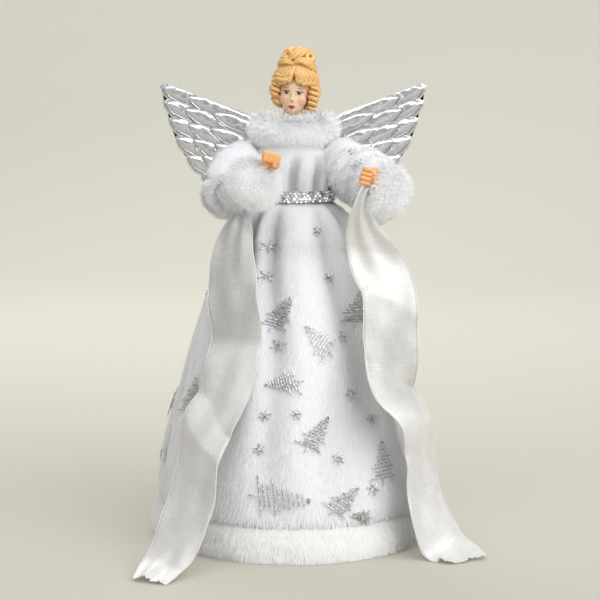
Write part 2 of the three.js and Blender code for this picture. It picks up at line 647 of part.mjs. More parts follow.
// Ribbon tails, from the arm to the table. Each station is a place seen from above, its height as a share
// of the tail's fall, its width's compass angle and its width.
const station = ([x, y], fall, turn, width) => ({ x, y, fall, turn, width, lean: 0 });
const LEFT_TAIL = [
  station([-33, -37], 1.0, -30, 13),
  station([-35.5, -38], 0.95, -32, 22),
  station([-36.5, -42], 0.863, -33, 31),
  station([-36.5, -50], 0.765, -34, 36),
  station([-37, -58], 0.669, -35, 38),
  station([-39, -66], 0.568, -36, 38),
  station([-44, -72], 0.468, -38, 38),
  station([-52, -75], 0.384, -36, 38),
  station([-58, -80], 0.293, -34, 38),
  station([-64, -88], 0.192, -32, 38),
  station([-70, -98], 0.106, -28, 36),
  station([-75, -108], 0.038, -22, 33),
  station([-80, -118], 0.014, -16, 28),
  station([-84, -127], 0.008, -10, 24),
];
const RIGHT_TAIL = [
  station([43.8, -56], 1.0, 15, 7),
  station([41, -54], 0.919, 12, 15),
  station([48, -50], 0.835, 8, 30),
  station([56, -48], 0.746, 8, 37),
  station([58.5, -53], 0.657, 10, 38),
  station([60.5, -60], 0.551, 10, 38),
  station([65, -66], 0.457, 12, 38),
  station([74, -66], 0.369, 26, 38),
  station([80, -61], 0.28, 48, 38),
  station([83, -62], 0.191, 52, 38),
  station([87, -66], 0.107, 44, 38),
  station([94, -68], 0.04, 30, 36),
  station([101, -75], 0.013, 18, 32),
  station([106, -85], 0.007, 13, 28),
];

function makeTail(name, stations, drop) {
  const top = shoulderHeight - drop;
  const hung = stations.map((stop) => ({ ...stop, at: [stop.x, stop.y, stop.fall * top] }));
  return named(name, band(hung, RIBBON_THICKNESS, TAIL_BOW), materials.ribbon);
}

// The scarf's middle passes behind the waist, from armpit to armpit.
function makeRibbonBack() {
  const height = waistHeight + FIT + RIBBON_BACK_WIDTH / 2;
  const inner = WAIST_RADIUS + FIT + BODICE_THICKNESS + PLEAT_DEPTH + FIT + BELT_THICKNESS + 6 * FIT;
  const steps = 7;
  const stations = Array.from({ length: steps + 1 }, (_, k) => {
    const angle = Math.PI + RIBBON_BACK_REACH * ((2 * k) / steps - 1);
    const at = [inner * Math.sin(angle), -inner * Math.cos(angle) * BODY_DEPTH_RATIO, height];
    return { at, turn: 0, width: RIBBON_BACK_WIDTH, lean: -90 };
  });
  return named("ribbon_back", band(stations, RIBBON_THICKNESS, 0), materials.ribbon);
}

const angel = new THREE.Group();
angel.name = "angel_tree_topper";
angel.add(makeCone(), makeHem(), makeSkirt(), makeTorso(), makeShoulderWire());
angel.add(makeBodice(), makeBelt(), makeCollar());
angel.add(makeHeadGroup(), makeArm("left", ARMS.left), makeArm("right", ARMS.right));
angel.add(makeWing("left", -1), makeWing("right", 1), makeWingPlate());
angel.add(makeTail("ribbon_left_tail", LEFT_TAIL, ARMS.left.tailDrop));
angel.add(makeTail("ribbon_right_tail", RIGHT_TAIL, ARMS.right.tailDrop), makeRibbonBack());

export default angel;
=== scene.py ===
import math
import random

import bmesh
import bpy
from mathutils import Matrix, Vector, noise
from mathutils.bvhtree import BVHTree


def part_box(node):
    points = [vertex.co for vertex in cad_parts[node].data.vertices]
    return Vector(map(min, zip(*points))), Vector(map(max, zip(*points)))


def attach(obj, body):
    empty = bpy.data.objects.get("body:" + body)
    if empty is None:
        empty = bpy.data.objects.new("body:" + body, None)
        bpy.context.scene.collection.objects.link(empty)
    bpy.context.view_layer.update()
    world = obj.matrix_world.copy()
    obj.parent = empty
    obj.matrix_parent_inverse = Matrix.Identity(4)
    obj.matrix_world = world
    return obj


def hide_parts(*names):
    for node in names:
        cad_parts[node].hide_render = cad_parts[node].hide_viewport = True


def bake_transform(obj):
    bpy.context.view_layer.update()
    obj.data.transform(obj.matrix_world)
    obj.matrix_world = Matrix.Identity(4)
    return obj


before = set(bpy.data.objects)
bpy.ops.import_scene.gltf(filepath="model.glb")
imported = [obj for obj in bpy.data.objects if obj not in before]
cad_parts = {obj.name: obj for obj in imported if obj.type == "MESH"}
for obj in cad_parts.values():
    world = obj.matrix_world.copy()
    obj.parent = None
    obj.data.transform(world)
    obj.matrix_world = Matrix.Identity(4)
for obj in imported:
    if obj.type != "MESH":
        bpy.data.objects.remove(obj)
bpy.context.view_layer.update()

MM = 0.001

# The view: a long lens a metre in front of the figure, a little above it and looking slightly down.
# The floor is a pale seamless sweep, lit by broad soft lamps.
CAMERA_DISTANCE = 1000 * MM
CAMERA_HEIGHT = 277 * MM
CAMERA_ASIDE = 4.3 * MM
CAMERA_PITCH = math.radians(7.19)
CAMERA_LENS = 92.6

camera_data = bpy.data.cameras.new("camera")
camera_data.lens = CAMERA_LENS
camera_data.sensor_width = 36
camera = bpy.data.objects.new("camera", camera_data)
camera.location = (CAMERA_ASIDE, -CAMERA_DISTANCE, CAMERA_HEIGHT)
camera.rotation_euler = (math.pi / 2 - CAMERA_PITCH, 0, 0)
bpy.context.collection.objects.link(camera)
bpy.context.scene.camera = camera
bpy.context.scene.view_settings.view_transform = "Standard"


def linear(code):
    """An sRGB hex colour as linear RGBA."""
    parts = [int(code[i:i + 2], 16) / 255 for i in (1, 3, 5)]
    return [p / 12.92 if p <= 0.04045 else ((p + 0.055) / 1.055) ** 2.4 for p in parts] + [1]


def fill(tree, made, inputs):
    """Fills a node's inputs; one given as a socket is linked and any other is set."""
    for key, value in inputs.items():
        if isinstance(value, bpy.types.NodeSocket):
            tree.links.new(value, made.inputs[key])
        else:
            made.inputs[key].default_value = value


def node(tree, kind, inputs=None, **settings):
    """Adds a node with its settings and links."""
    made = tree.nodes.new(kind)
    for key, value in settings.items():
        setattr(made, key, value)
    fill(tree, made, inputs or {})
    return made


def surface(name):
    """A new material, its node tree and its shader."""
    material = bpy.data.materials.new(name)
    material.use_nodes = True
    return material, material.node_tree, material.node_tree.nodes["Principled BSDF"]


def piece_of(name, shape, finish, smooth=True, outward=False):
    """Makes an object of a bmesh, with its faces turned outward first where that is asked."""
    if outward:
        bmesh.ops.recalc_face_normals(shape, faces=shape.faces)
    mesh = bpy.data.meshes.new(name)
    shape.to_mesh(mesh)
    shape.free()
    mesh.polygons.foreach_set("use_smooth", [smooth] * len(mesh.polygons))
    mesh.materials.append(finish)
    made = bpy.data.objects.new(name, mesh)
    bpy.context.collection.objects.link(made)
    return made


FLOOR_REACH = 6.0
WALL_RISE = 3.0
BACKDROP_DISTANCE = 1.3
BEND_STEPS = 12
DARKEST_PAPER = -0.3
PAPER_FADE = 1.7
PAPER_GLOW = 0.15
paper, tree, shader = surface("studio_paper")
spot = node(tree, "ShaderNodeSeparateXYZ", {0: node(tree, "ShaderNodeTexCoord").outputs["Object"]}).outputs
away = node(tree, "ShaderNodeMath", {0: spot["Y"], 1: spot["Z"]}, operation="ADD").outputs[0]
away = node(tree, "ShaderNodeMath", {0: away, 1: DARKEST_PAPER}, operation="SUBTRACT").outputs[0]
away = node(tree, "ShaderNodeMath", {0: away}, operation="ABSOLUTE").outputs[0]
climb = node(tree, "ShaderNodeMapRange", {"Value": away, "From Max": PAPER_FADE}, interpolation_type="SMOOTHSTEP")
tone = node(tree, "ShaderNodeMix", {"Factor": climb.outputs[0], 6: linear("#B2AEA3"), 7: linear("#E6E4DA")},
            data_type="RGBA")
seen = node(tree, "ShaderNodeLightPath").outputs
direct = node(tree, "ShaderNodeMath", {0: seen["Is Camera Ray"], 1: seen["Is Glossy Ray"]}, operation="MAXIMUM")
glow = node(tree, "ShaderNodeMath", {0: direct.outputs[0], 1: PAPER_GLOW}, operation="MULTIPLY")
fill(tree, shader, {"Base Color": tone.outputs[2], "Roughness": 0.9, "Emission Color": linear("#F0EDE1"),
                    "Emission Strength": glow.outputs[0]})
sweep_line = [(-FLOOR_REACH, 0), (BACKDROP_DISTANCE, 0)]
for step in range(1, BEND_STEPS + 1):
    angle = math.pi / 2 * step / BEND_STEPS
    sweep_line.append((BACKDROP_DISTANCE + math.sin(angle), 1 - math.cos(angle)))
sweep_line.append((sweep_line[-1][0], sweep_line[-1][1] + WALL_RISE))
sweep_shape = bmesh.new()
line = [sweep_shape.verts.new((-FLOOR_REACH, *place)) for place in sweep_line]
edges = [sweep_shape.edges.new(pair) for pair in zip(line, line[1:])]
swept = bmesh.ops.extrude_edge_only(sweep_shape, edges=edges)["geom"]
bmesh.ops.translate(sweep_shape, vec=(2 * FLOOR_REACH, 0, 0),
                    verts=[part for part in swept if isinstance(part, bmesh.types.BMVert)])
piece_of("floor_sweep", sweep_shape, paper, outward=True)

# Each lamp is a square: its place and its size in metres and its power in watts. All aim at the figure's middle.
LAMPS = {"key_lamp": ((1.0, -0.95, 1.1), 1.5, 15), "fill_lamp": ((-1.2, -1.1, 0.9), 1.2, 3.5),
         "top_lamp": ((-0.2, -0.65, 1.4), 1.0, 5), "rim_lamp": ((-0.4, 0.9, 1.2), 0.8, 5)}
LAMP_TARGET = Vector((0, 0, 0.16))
for name, (place, size, power) in LAMPS.items():
    lamp_data = bpy.data.lights.new(name, "AREA")
    lamp_data.size = size
    lamp_data.energy = power
    lamp = bpy.data.objects.new(name, lamp_data)
    lamp.location = place
    lamp.rotation_euler = (LAMP_TARGET - Vector(place)).to_track_quat("-Z", "Y").to_euler()
    bpy.context.collection.objects.link(lamp)
world = bpy.data.worlds.new("studio")
world.use_nodes = True
tree = world.node_tree
sky = node(tree, "ShaderNodeSeparateXYZ", {0: node(tree, "ShaderNodeTexCoord").outputs["Generated"]}).outputs
window = node(tree, "ShaderNodeMapRange", {
    "Value": sky["X"], "From Min": -0.7, "From Max": 0.7, "To Min": 0.3, "To Max": 0.88},
    interpolation_type="SMOOTHSTEP")
fill(tree, tree.nodes["Background"], {"Color": linear("#F2F1EF"), "Strength": window.outputs[0]})
bpy.context.scene.world = world

# The card cone: rolled from plain board and glued along one seam, it holds the dress up.
# Only its inside shows, from underneath, with the board's flecks. The plate between the wings is the same board.
BOARD_FLECK = 2.5 * MM


def coat_node(name, finish):
    """Gives a material to a node that keeps its CAD shape."""
    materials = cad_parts[name].data.materials
    materials.clear()
    materials.append(finish)


board, tree, shader = surface("pulp_board")
place = node(tree, "ShaderNodeTexCoord").outputs["Object"]
fleck = node(tree, "ShaderNodeTexNoise", {"Vector": place, "Scale": 1 / BOARD_FLECK, "Detail": 6}).outputs["Fac"]
tone = node(tree, "ShaderNodeMix", {"Factor": fleck, 6: linear("#D9D2C4"), 7: linear("#EEE8DC")}, data_type="RGBA")
grit = node(tree, "ShaderNodeBump", {"Height": fleck, "Distance": 0.1 * MM, "Strength": 0.5})
fill(tree, shader, {"Base Color": tone.outputs[2], "Roughness": 0.88, "Normal": grit.outputs["Normal"]})
coat_node("cone_core", board)
coat_node("wing_plate", board)

# The skirt: long-napped white plush, cut as a cone, gathered at the waist and hanging in soft folds.
# The nap is brushed downwards, so the light catches the crest of each fold, and the valleys between are painted
# darker as painted shade.
skirt_low, skirt_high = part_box("skirt")
SKIRT_FOOT = skirt_low.z
SKIRT_TOP = skirt_high.z
SKIRT_FOOT_RADIUS = 86.6 * MM
SKIRT_TOP_RADIUS = 25.2 * MM
SKIRT_BULGE = 13 * MM
SKIRT_FOLDS = 10
SKIRT_FOLD_DEPTH = 5 * MM
SKIRT_FOLD_TURN = math.radians(9)
SKIRT_WANDER = 2.2 * MM
SKIRT_WALL = 2 * MM
SKIRT_ROWS = 48
WAIST_PUFF = 5 * MM
WAIST_PUFF_STARTS = 0.84
BODY_DEPTH_RATIO = 0.86
HOLLOW_SHADE = 0.27
# A strand of the pile: how far it narrows, bends over, turns and is lit its own way, and the limits of its size.
# Strands lean together in tufts; a tuft is measured in strands' lengths.
STRAND_TAPER = 0.85
STRAND_BEND = 0.25
STRAND_TWIST = 0.35
STRAND_GLINT = 0.6
STRAND_SIZES = (0.65, 1.15)
STRAND_TUFT = 2
TUFT_LEAN = 1.2


def held(value, low=0, high=1):
    """A value kept within limits."""
    return min(max(value, low), high)


def between(pair, share):
    """A value part of the way from the first to the second."""
    return pair[0] + (pair[1] - pair[0]) * share


def round_body(radius, around, height, flat=BODY_DEPTH_RATIO):
    """A point round the upright axis; around is measured from the front towards the right."""
    return Vector((radius * math.sin(around), -radius * math.cos(around) * flat, height))


def around_of(place):
    """The compass angle of a point, from the front towards the right."""
    return math.atan2(place.x, -place.y)


def skirt_fold(around, share):
    """How far a fold stands out, about -1.5 in a valley and 1.5 on a crest; it drifts on its way up."""
    drift = 0.12 * math.sin(5 * around + 3 * share) + 0.07 * math.sin(9 * share)
    return math.cos(SKIRT_FOLDS * (around - SKIRT_FOLD_TURN + drift)) + 0.45 * math.sin(3 * around + 7 * share)


def skirt_point(around, height, out=0.0):
    """A point on the skirt, or out from it."""
    share = held((height - SKIRT_FOOT) / (SKIRT_TOP - SKIRT_FOOT))
    swell = max(math.sin(math.pi * share), 0)
    ruffle = skirt_fold(around, share)
    fold = ruffle * (1 + 0.9 * share)
    wander = noise.noise((4 * math.sin(around), 4 * math.cos(around), 5 * share)) * SKIRT_WANDER
    radius = between((SKIRT_FOOT_RADIUS, SKIRT_TOP_RADIUS), share) + SKIRT_BULGE * math.sqrt(swell)
    puff = WAIST_PUFF * math.sin(math.pi * max(share - WAIST_PUFF_STARTS, 0) / (1 - WAIST_PUFF_STARTS))
    radius += puff * (0.8 + 0.4 * ruffle)
    radius += SKIRT_FOLD_DEPTH * swell ** 0.7 * (fold - 1) * 0.5 + wander * swell + out
    return round_body(radius, around, height, 1 + (BODY_DEPTH_RATIO - 1) * share ** 3)


def fibre_finish(name, root, tip):
    """A fibre with painted shade, greyer at the root than at the tip and darker in a fold, and unlike the next one.
    """
    material, tree, shader = surface(name)
    along, tint, painted_shade = [node(tree, "ShaderNodeAttribute", attribute_name=kind).outputs["Fac"]
                           for kind in ("along", "tint", "painted_shade")]
    # Painted shade: the root is greyer than the tip, for the shade deep in the pile.
    tone = node(tree, "ShaderNodeMix", {"Factor": along, 6: linear(root), 7: linear(tip)}, data_type="RGBA")
    level = node(tree, "ShaderNodeMath", {0: tint, 1: 0.06, 2: 0.96}, operation="MULTIPLY_ADD").outputs[0]
    # Painted shade: darker by the coat's shade value, in its folds, pleats and creases.
    level = node(tree, "ShaderNodeMath", {0: painted_shade, 1: -HOLLOW_SHADE, 2: level}, operation="MULTIPLY_ADD")
    shade = node(tree, "ShaderNodeVectorMath", {0: tone.outputs[2], 3: level.outputs[0]}, operation="SCALE")
    fill(tree, shader, {"Base Color": shade.outputs[0], "Roughness": 0.75,
                        "Sheen Weight": 0.2, "Sheen Roughness": 0.4})
    return material


def set_shape(piece):
    """Applies a piece's modifiers to its mesh."""
    graph = bpy.context.evaluated_depsgraph_get()
    shaped = bpy.data.meshes.new_from_object(piece.evaluated_get(graph))
    piece.modifiers.clear()
    piece.data = shaped
    return piece


def give_wall(piece, thickness, offset):
    """Gives a surface its thickness: inwards with an offset of -1, both ways with 0."""
    wall = piece.modifiers.new("wall", "SOLIDIFY")
    wall.thickness = thickness
    wall.offset = offset
    set_shape(piece)


def spun(profile, steps, closed=False):
    """Turns a profile of radii and heights once round the upright axis, with faces in the same order each run."""
    shape = bmesh.new()
    rings = []
    for step in range(steps):
        around = 2 * math.pi * step / steps
        rings.append([shape.verts.new(round_body(radius, around, height, 1)) for radius, height in profile])
    for ring, following in zip(rings, rings[1:] + rings[:1]):
        for k in range(0 if closed else 1, len(profile)):
            shape.faces.new((ring[k - 1], following[k - 1], following[k], ring[k]))
    return shape


def grow_pile(coat, ending, strands, length, width, rows, comb, mess, seed):
    """Plants fibres all over a coat; comb leans them all one way, mess leans each its own way.

    A fibre is lit as the coat under it is and casts no shadow of its own, because light passes through
    fine white fibres and a deep pile scatters it like one surface.
    """
    tree = bpy.data.node_groups.new(coat.name + ending, "GeometryNodeTree")
    for way in ("INPUT", "OUTPUT"):
        tree.interface.new_socket("Geometry", in_out=way, socket_type="NodeSocketGeometry")

    area = sum(face.area for face in coat.data.polygons)
    cloth = node(tree, "NodeGroupInput").outputs[0]
    planted = node(tree, "GeometryNodeDistributePointsOnFaces", {
        "Mesh": cloth, "Density": strands / area, "Seed": seed}).outputs
    normal = planted["Normal"]

    # One strand: a narrow strip that tapers and bends over towards its tip.
    blade = node(tree, "GeometryNodeMeshGrid", {
        "Size X": width, "Size Y": length, "Vertices X": 2, "Vertices Y": rows + 1}).outputs[0]
    spot = node(tree, "ShaderNodeSeparateXYZ", {0: node(tree, "GeometryNodeInputPosition").outputs[0]}).outputs
    share = node(tree, "ShaderNodeMath", {0: spot["Y"], 1: 1 / length, 2: 0.5}, operation="MULTIPLY_ADD").outputs[0]
    taper = node(tree, "ShaderNodeMath", {0: share, 1: -STRAND_TAPER, 2: 1.0}, operation="MULTIPLY_ADD").outputs[0]
    across = node(tree, "ShaderNodeMath", {0: spot["X"], 1: taper}, operation="MULTIPLY").outputs[0]
    curl = node(tree, "ShaderNodeMath", {0: share, 1: share}, operation="MULTIPLY").outputs[0]
    bend = node(tree, "ShaderNodeMath", {0: curl, 1: -STRAND_BEND * length}, operation="MULTIPLY").outputs[0]
    rise = node(tree, "ShaderNodeMath", {0: share, 1: length}, operation="MULTIPLY").outputs[0]
    upright = node(tree, "ShaderNodeCombineXYZ", {0: across, 1: bend, 2: rise}).outputs[0]
    marked = node(tree, "GeometryNodeStoreNamedAttribute", {"Geometry": blade, "Name": "along", "Value": share})
    shaped = node(tree, "GeometryNodeSetPosition", {"Geometry": marked.outputs[0], "Position": upright}).outputs[0]
    strand = node(tree, "GeometryNodeFlipFaces", {"Mesh": shaped}).outputs[0]

    # Where each strand leans, how it is turned and lit, and how long it is.
    tint, angle, size = [
        node(tree, "FunctionNodeRandomValue", {2: low, 3: high, 8: seed + step}).outputs[1]
        for step, (low, high) in ((1, (0, 1)), (3, (-STRAND_TWIST, STRAND_TWIST)), (4, STRAND_SIZES))]
    stray = node(tree, "FunctionNodeRandomValue", {0: [-mess] * 3, 1: [mess] * 3, 8: seed + 2},
                 data_type="FLOAT_VECTOR").outputs[0]
    tuft = node(tree, "ShaderNodeTexNoise", {"Scale": 1 / (STRAND_TUFT * length), "Detail": 1}).outputs["Color"]
    swirl = node(tree, "ShaderNodeVectorMath", {
        0: tuft, 1: [2 * TUFT_LEAN * mess] * 3, 2: [-TUFT_LEAN * mess] * 3}, operation="MULTIPLY_ADD").outputs[0]
    lean = normal
    for push in (comb, stray, swirl):
        lean = node(tree, "ShaderNodeVectorMath", {0: lean, 1: push}, operation="ADD").outputs[0]
    aimed = node(tree, "FunctionNodeAlignRotationToVector", {"Vector": lean}, axis="Z").outputs[0]
    aimed = node(tree, "FunctionNodeAlignRotationToVector", {"Rotation": aimed, "Vector": normal},
                 axis="Y", pivot_axis="Z").outputs[0]
    twist = node(tree, "FunctionNodeAxisAngleToRotation", {"Axis": (0, 0, 1), "Angle": angle}).outputs[0]
    turned = node(tree, "FunctionNodeRotateRotation", {"Rotation": aimed, "Rotate By": twist},
                  rotation_space="LOCAL").outputs[0]
    tinted = node(tree, "GeometryNodeStoreNamedAttribute", {
        "Geometry": planted["Points"], "Name": "tint", "Value": tint}).outputs[0]
    glow = node(tree, "ShaderNodeVectorMath", {0: stray, 1: [STRAND_GLINT] * 3, 2: normal}, operation="MULTIPLY_ADD")
    roots = node(tree, "GeometryNodeStoreNamedAttribute", {
        "Geometry": tinted, "Name": "facing", "Value": glow.outputs[0]}, data_type="FLOAT_VECTOR").outputs[0]
    strewn = node(tree, "GeometryNodeInstanceOnPoints", {
        "Points": roots, "Instance": strand, "Rotation": turned, "Scale": size}).outputs[0]
    grown = node(tree, "GeometryNodeRealizeInstances", {"Geometry": strewn}).outputs[0]
    facing = node(tree, "GeometryNodeInputNamedAttribute", {"Name": "facing"}, data_type="FLOAT_VECTOR").outputs[0]
    lit = node(tree, "GeometryNodeSetMeshNormal", {"Mesh": grown, "Custom Normal": facing},
               mode="FREE", domain="POINT").outputs[0]
    node(tree, "NodeGroupOutput", {0: lit})

    pile = bpy.data.objects.new(coat.name + ending, coat.data.copy())
    bpy.context.collection.objects.link(pile)
    pile.modifiers.new("pile", "NODES").node_group = tree
    set_shape(pile)
    pile.data.materials.clear()
    pile.data.materials.append(coat.data.materials[0])
    pile.visible_shadow = False
    return pile


def belong(body, slot, *pieces):
    """Lets pieces ride on a body; the kind of material given as slot is not used."""
    for piece in pieces:
        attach(piece, body)


# Each fibre's first colour, at its root, is greyer than its tip: painted shade.
plush_fibre = fibre_finish("polyester_plush", "#F0F1F4", "#FCFCFE")
skirt_shape = spun([(1, k / SKIRT_ROWS) for k in range(SKIRT_ROWS + 1)], 240)
skirt_painted_shade = skirt_shape.verts.layers.float.new("painted_shade")
for vertex in skirt_shape.verts:
    share = vertex.co.z
    around = around_of(vertex.co)
    # Painted shade in the fold valleys, stronger towards the waist and fading out at the foot and the very top.
    valley = held(0.1 - 0.6 * skirt_fold(around, share))
    vertex[skirt_painted_shade] = valley * (0.4 + 0.8 * share) * min(4 * share, 20 * (1 - share), 1)
    vertex.co = skirt_point(around, between((SKIRT_FOOT, SKIRT_TOP), share))
skirt = piece_of("plush_skirt", skirt_shape, plush_fibre, outward=True)
skirt_nap = grow_pile(skirt, "_nap", strands=88000, length=4 * MM, width=0.6 * MM, rows=1,
                      comb=(0, 0, -1.9), mess=0.4, seed=11)
give_wall(skirt, SKIRT_WALL, -1)
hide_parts("skirt")
belong("dress", "plush", skirt, skirt_nap)

# The silver motifs: fir trees in zig-zag stitch and six-armed stars, sewn over the plush by machine.
# Metallised thread is bright where a stitch faces a lamp and dark grey elsewhere, and random patches of it are
# painted white as glints: painted highlight.
FIR_LENGTH = 25 * MM
FIR_WIDTH = 19 * MM
FIR_STITCHES = 10
FIR_KNOT = 1.2 * MM
FIR_TRUNK = 4 * MM
STAR_ARM = 4.4 * MM
THREAD_THICKNESS = 0.85 * MM
THREAD_LIFT = 1.5 * MM
SKIRT_SLANT = 0.94
# Trees and stars on the front of the skirt: angle from the front, height in mm, and for a tree its tilt to the
# right and its size.
FRONT_FIRS = [(-15, 138, 30, 1.0), (40, 139, 14, 0.95), (22, 123, -38, 1.0), (5, 110, -98, 0.9), (4.5, 68, 40, 1.05),
              (-18, 42, 94, 1.45), (14, 30, 52, 1.0), (39, 44, 10, 1.1), (-61, 80, 8, 1.1), (-80, 46, -20, 1.0),
              (33, 25, -75, 0.6)]
FRONT_STARS = [(-21.6, 189), (-20.5, 171), (-8.7, 130), (32, 134), (31, 100), (1.7, 91), (-14.7, 69), (20, 63),
               (40, 84), (34, 43), (-13, 89), (28, 170), (21, 199)]
# Rows on the sides and the back: heights in mm, first and last angle, and how far every other row is shifted.
BACK_ROWS = (48, 84, 120, 156, 190)
BACK_ANGLES = (62, 280)
ROW_SHIFT = 11
HIGHEST_FIR = 180

silver_thread, tree, shader = surface("metallised_thread")
place = node(tree, "ShaderNodeTexCoord").outputs["Object"]
twist = node(tree, "ShaderNodeTexNoise", {"Vector": place, "Scale": 1 / (1.5 * MM), "Detail": 1}).outputs["Fac"]
# Painted highlight: random patches of the thread are painted white, as glints.
painted_glint = node(tree, "ShaderNodeMapRange", {"Value": twist, "From Min": 0.4, "From Max": 0.6}).outputs[0]
tone = node(tree, "ShaderNodeMix", {"Factor": painted_glint, 6: linear("#A2A3A6"), 7: linear("#FFFFFF")}, data_type="RGBA")
facets = node(tree, "ShaderNodeBump", {"Height": twist, "Distance": 0.6 * MM, "Strength": 1})
fill(tree, shader, {"Base Color": tone.outputs[2], "Metallic": 0.85, "Roughness": 0.22,
                    "Normal": facets.outputs["Normal"]})


def round_rods(name, rods, unit, finish, sides):
    """Makes round rods; each is a route of points and its radii, counted in a unit."""
    data = bpy.data.curves.new(name, "CURVE")
    data.dimensions = "3D"
    data.bevel_depth = unit
    data.bevel_resolution = sides
    data.use_fill_caps = True
    for route, radii in rods:
        spline = data.splines.new("POLY")
        spline.points.add(len(route) - 1)
        for point, place, radius in zip(spline.points, route, radii):
            point.co = (*place, 1)
            point.radius = radius
    source = bpy.data.objects.new(name + "_route", data)
    bpy.context.collection.objects.link(source)
    mesh = bpy.data.meshes.new_from_object(source.evaluated_get(bpy.context.evaluated_depsgraph_get()))
    bpy.data.objects.remove(source)
    mesh.materials.clear()
    mesh.materials.append(finish)
    made = bpy.data.objects.new(name, mesh)
    bpy.context.collection.objects.link(made)
    return made


def laid_thread(name, routes, thickness, finish, sides=0):
    """Lays a round thread along each route of points."""
    return round_rods(name, [(route, [1] * len(route)) for route in routes], thickness / 2, finish, sides)


def fir_stitches():
    """One fir tree as routes of flat points, growing along +Y: a trunk, a knot at the tip and slanting rows."""
    tip = FIR_LENGTH
    routes = [[(0, 0), (0, FIR_TRUNK)], [(-FIR_KNOT, tip), (0, tip + FIR_KNOT), (FIR_KNOT, tip), (-FIR_KNOT, tip)]]
    for k in range(FIR_STITCHES):
        share = k / FIR_STITCHES
        half = FIR_WIDTH / 2 * (1 - share) ** 0.6 * (0.74 + 0.22 * (k % 3 == 0) + 0.1 * math.sin(5 * k))
        rise = between((FIR_TRUNK, FIR_LENGTH), share)
        routes.append([(-half, rise - 0.14 * half), (0, rise + 0.1 * half), (half, rise + 0.26 * half)])
    return routes


def star_stitches():
    """One six-armed star as routes of flat points."""
    turns = [math.pi * k / 3 for k in range(3)]
    arms = [(STAR_ARM * math.sin(turn), STAR_ARM * math.cos(turn)) for turn in turns]
    return [[(-x, -y), (x, y)] for x, y in arms]


def sewn(motif, tilt, size, spot):
    """Turns a flat motif by tilt, cuts its stitches short and carries each point to the cloth by spot."""
    turn = Matrix.Rotation(-tilt, 2) * size
    routes = []
    for stitch in motif:
        route = []
        for start, end in zip(stitch, stitch[1:]):
            route += [spot(turn @ Vector(start).lerp(Vector(end), part / 4)) for part in range(4)]
        routes.append(route + [spot(turn @ Vector(stitch[-1]))])
    return routes


def skirt_spot(degrees, height):
    """A function that carries flat points to the skirt round one place, its height in mm."""
    around = math.radians(degrees)
    radius = math.hypot(*skirt_point(around, height * MM).xy)
    return lambda flat: skirt_point(around + flat.x / radius, height * MM + flat.y * SKIRT_SLANT, THREAD_LIFT)


chance = random.Random(5)
motif_routes = []
for angle, height, tilt, size in FRONT_FIRS:
    motif_routes += sewn(fir_stitches(), math.radians(tilt), size, skirt_spot(angle, height))
for angle, height in FRONT_STARS:
    tilt = chance.uniform(-0.5, 0.5)
    motif_routes += sewn(star_stitches(), tilt, chance.uniform(0.8, 1.1), skirt_spot(angle, height))
for row, height in enumerate(BACK_ROWS):
    # Higher rows are shorter, so their motifs stand more degrees apart.
    apart = 3300 // (115 - height // 2) + 4
    for angle in range(BACK_ANGLES[0] + ROW_SHIFT * (row % 2), BACK_ANGLES[1], apart):
        spot = skirt_spot(angle, height + chance.uniform(-6, 6))
        fir = chance.random() < 0.55 and height < HIGHEST_FIR
        tilt = chance.uniform(-1.6, 1.6)
        motif_routes += sewn(fir_stitches() if fir else star_stitches(), tilt, chance.uniform(0.85, 1.1), spot)
skirt_motifs = laid_thread("silver_motifs_skirt", motif_routes, THREAD_THICKNESS, silver_thread)
belong("dress", "foil", skirt_motifs)

# The hem: a band of close-cropped plush, sewn over the skirt's foot and rolled under to the table.
# Its pile stands in even rows and flattens where the figure rests on it.
HEM_PILE = 4 * MM
LOWEST_FIBRE = 0.2 * MM
# The band's section in mm: inwards from its outside, and up from the table or from the band's top.
HEM_FROM_TABLE = [(9, 1), (2.5, 0.8), (0.4, 4), (0, 9), (1.2, 15)]
HEM_FROM_TOP = [(3.4, -1), (6.4, 1.8)]
hem_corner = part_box("hem_trim")[1]
hem_outside = hem_corner.x - 0.6 * HEM_PILE
ring = [(hem_outside - inset * MM, height * MM) for inset, height in HEM_FROM_TABLE]
ring += [(hem_outside - inset * MM, hem_corner.z + rise * MM) for inset, rise in HEM_FROM_TOP]
hem_shape = spun(ring, 160, closed=True)
for vertex in hem_shape.verts:
    around = around_of(vertex.co)
    vertex.co.xy *= 1 + 0.006 * math.sin(5 * around + 1) + 0.004 * math.sin(11 * around)
# The hem's fibres are painted a little greyer at the root: painted shade.
hem = piece_of("plush_hem", hem_shape, fibre_finish("cropped_plush", "#F1F1F0", "#FDFDFC"), outward=True)
hem_nap = grow_pile(hem, "_nap", strands=84000, length=HEM_PILE, width=0.5 * MM, rows=1,
                    comb=(0, 0, -1.5), mess=0.45, seed=23)
hem_round = hem.modifiers.new("round", "SUBSURF")
hem_round.levels = hem_round.render_levels = 1
set_shape(hem)
for vertex in hem_nap.data.vertices:
    vertex.co.z = max(vertex.co.z, LOWEST_FIBRE)
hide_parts("hem_trim")
belong("dress", "fur", hem, hem_nap)

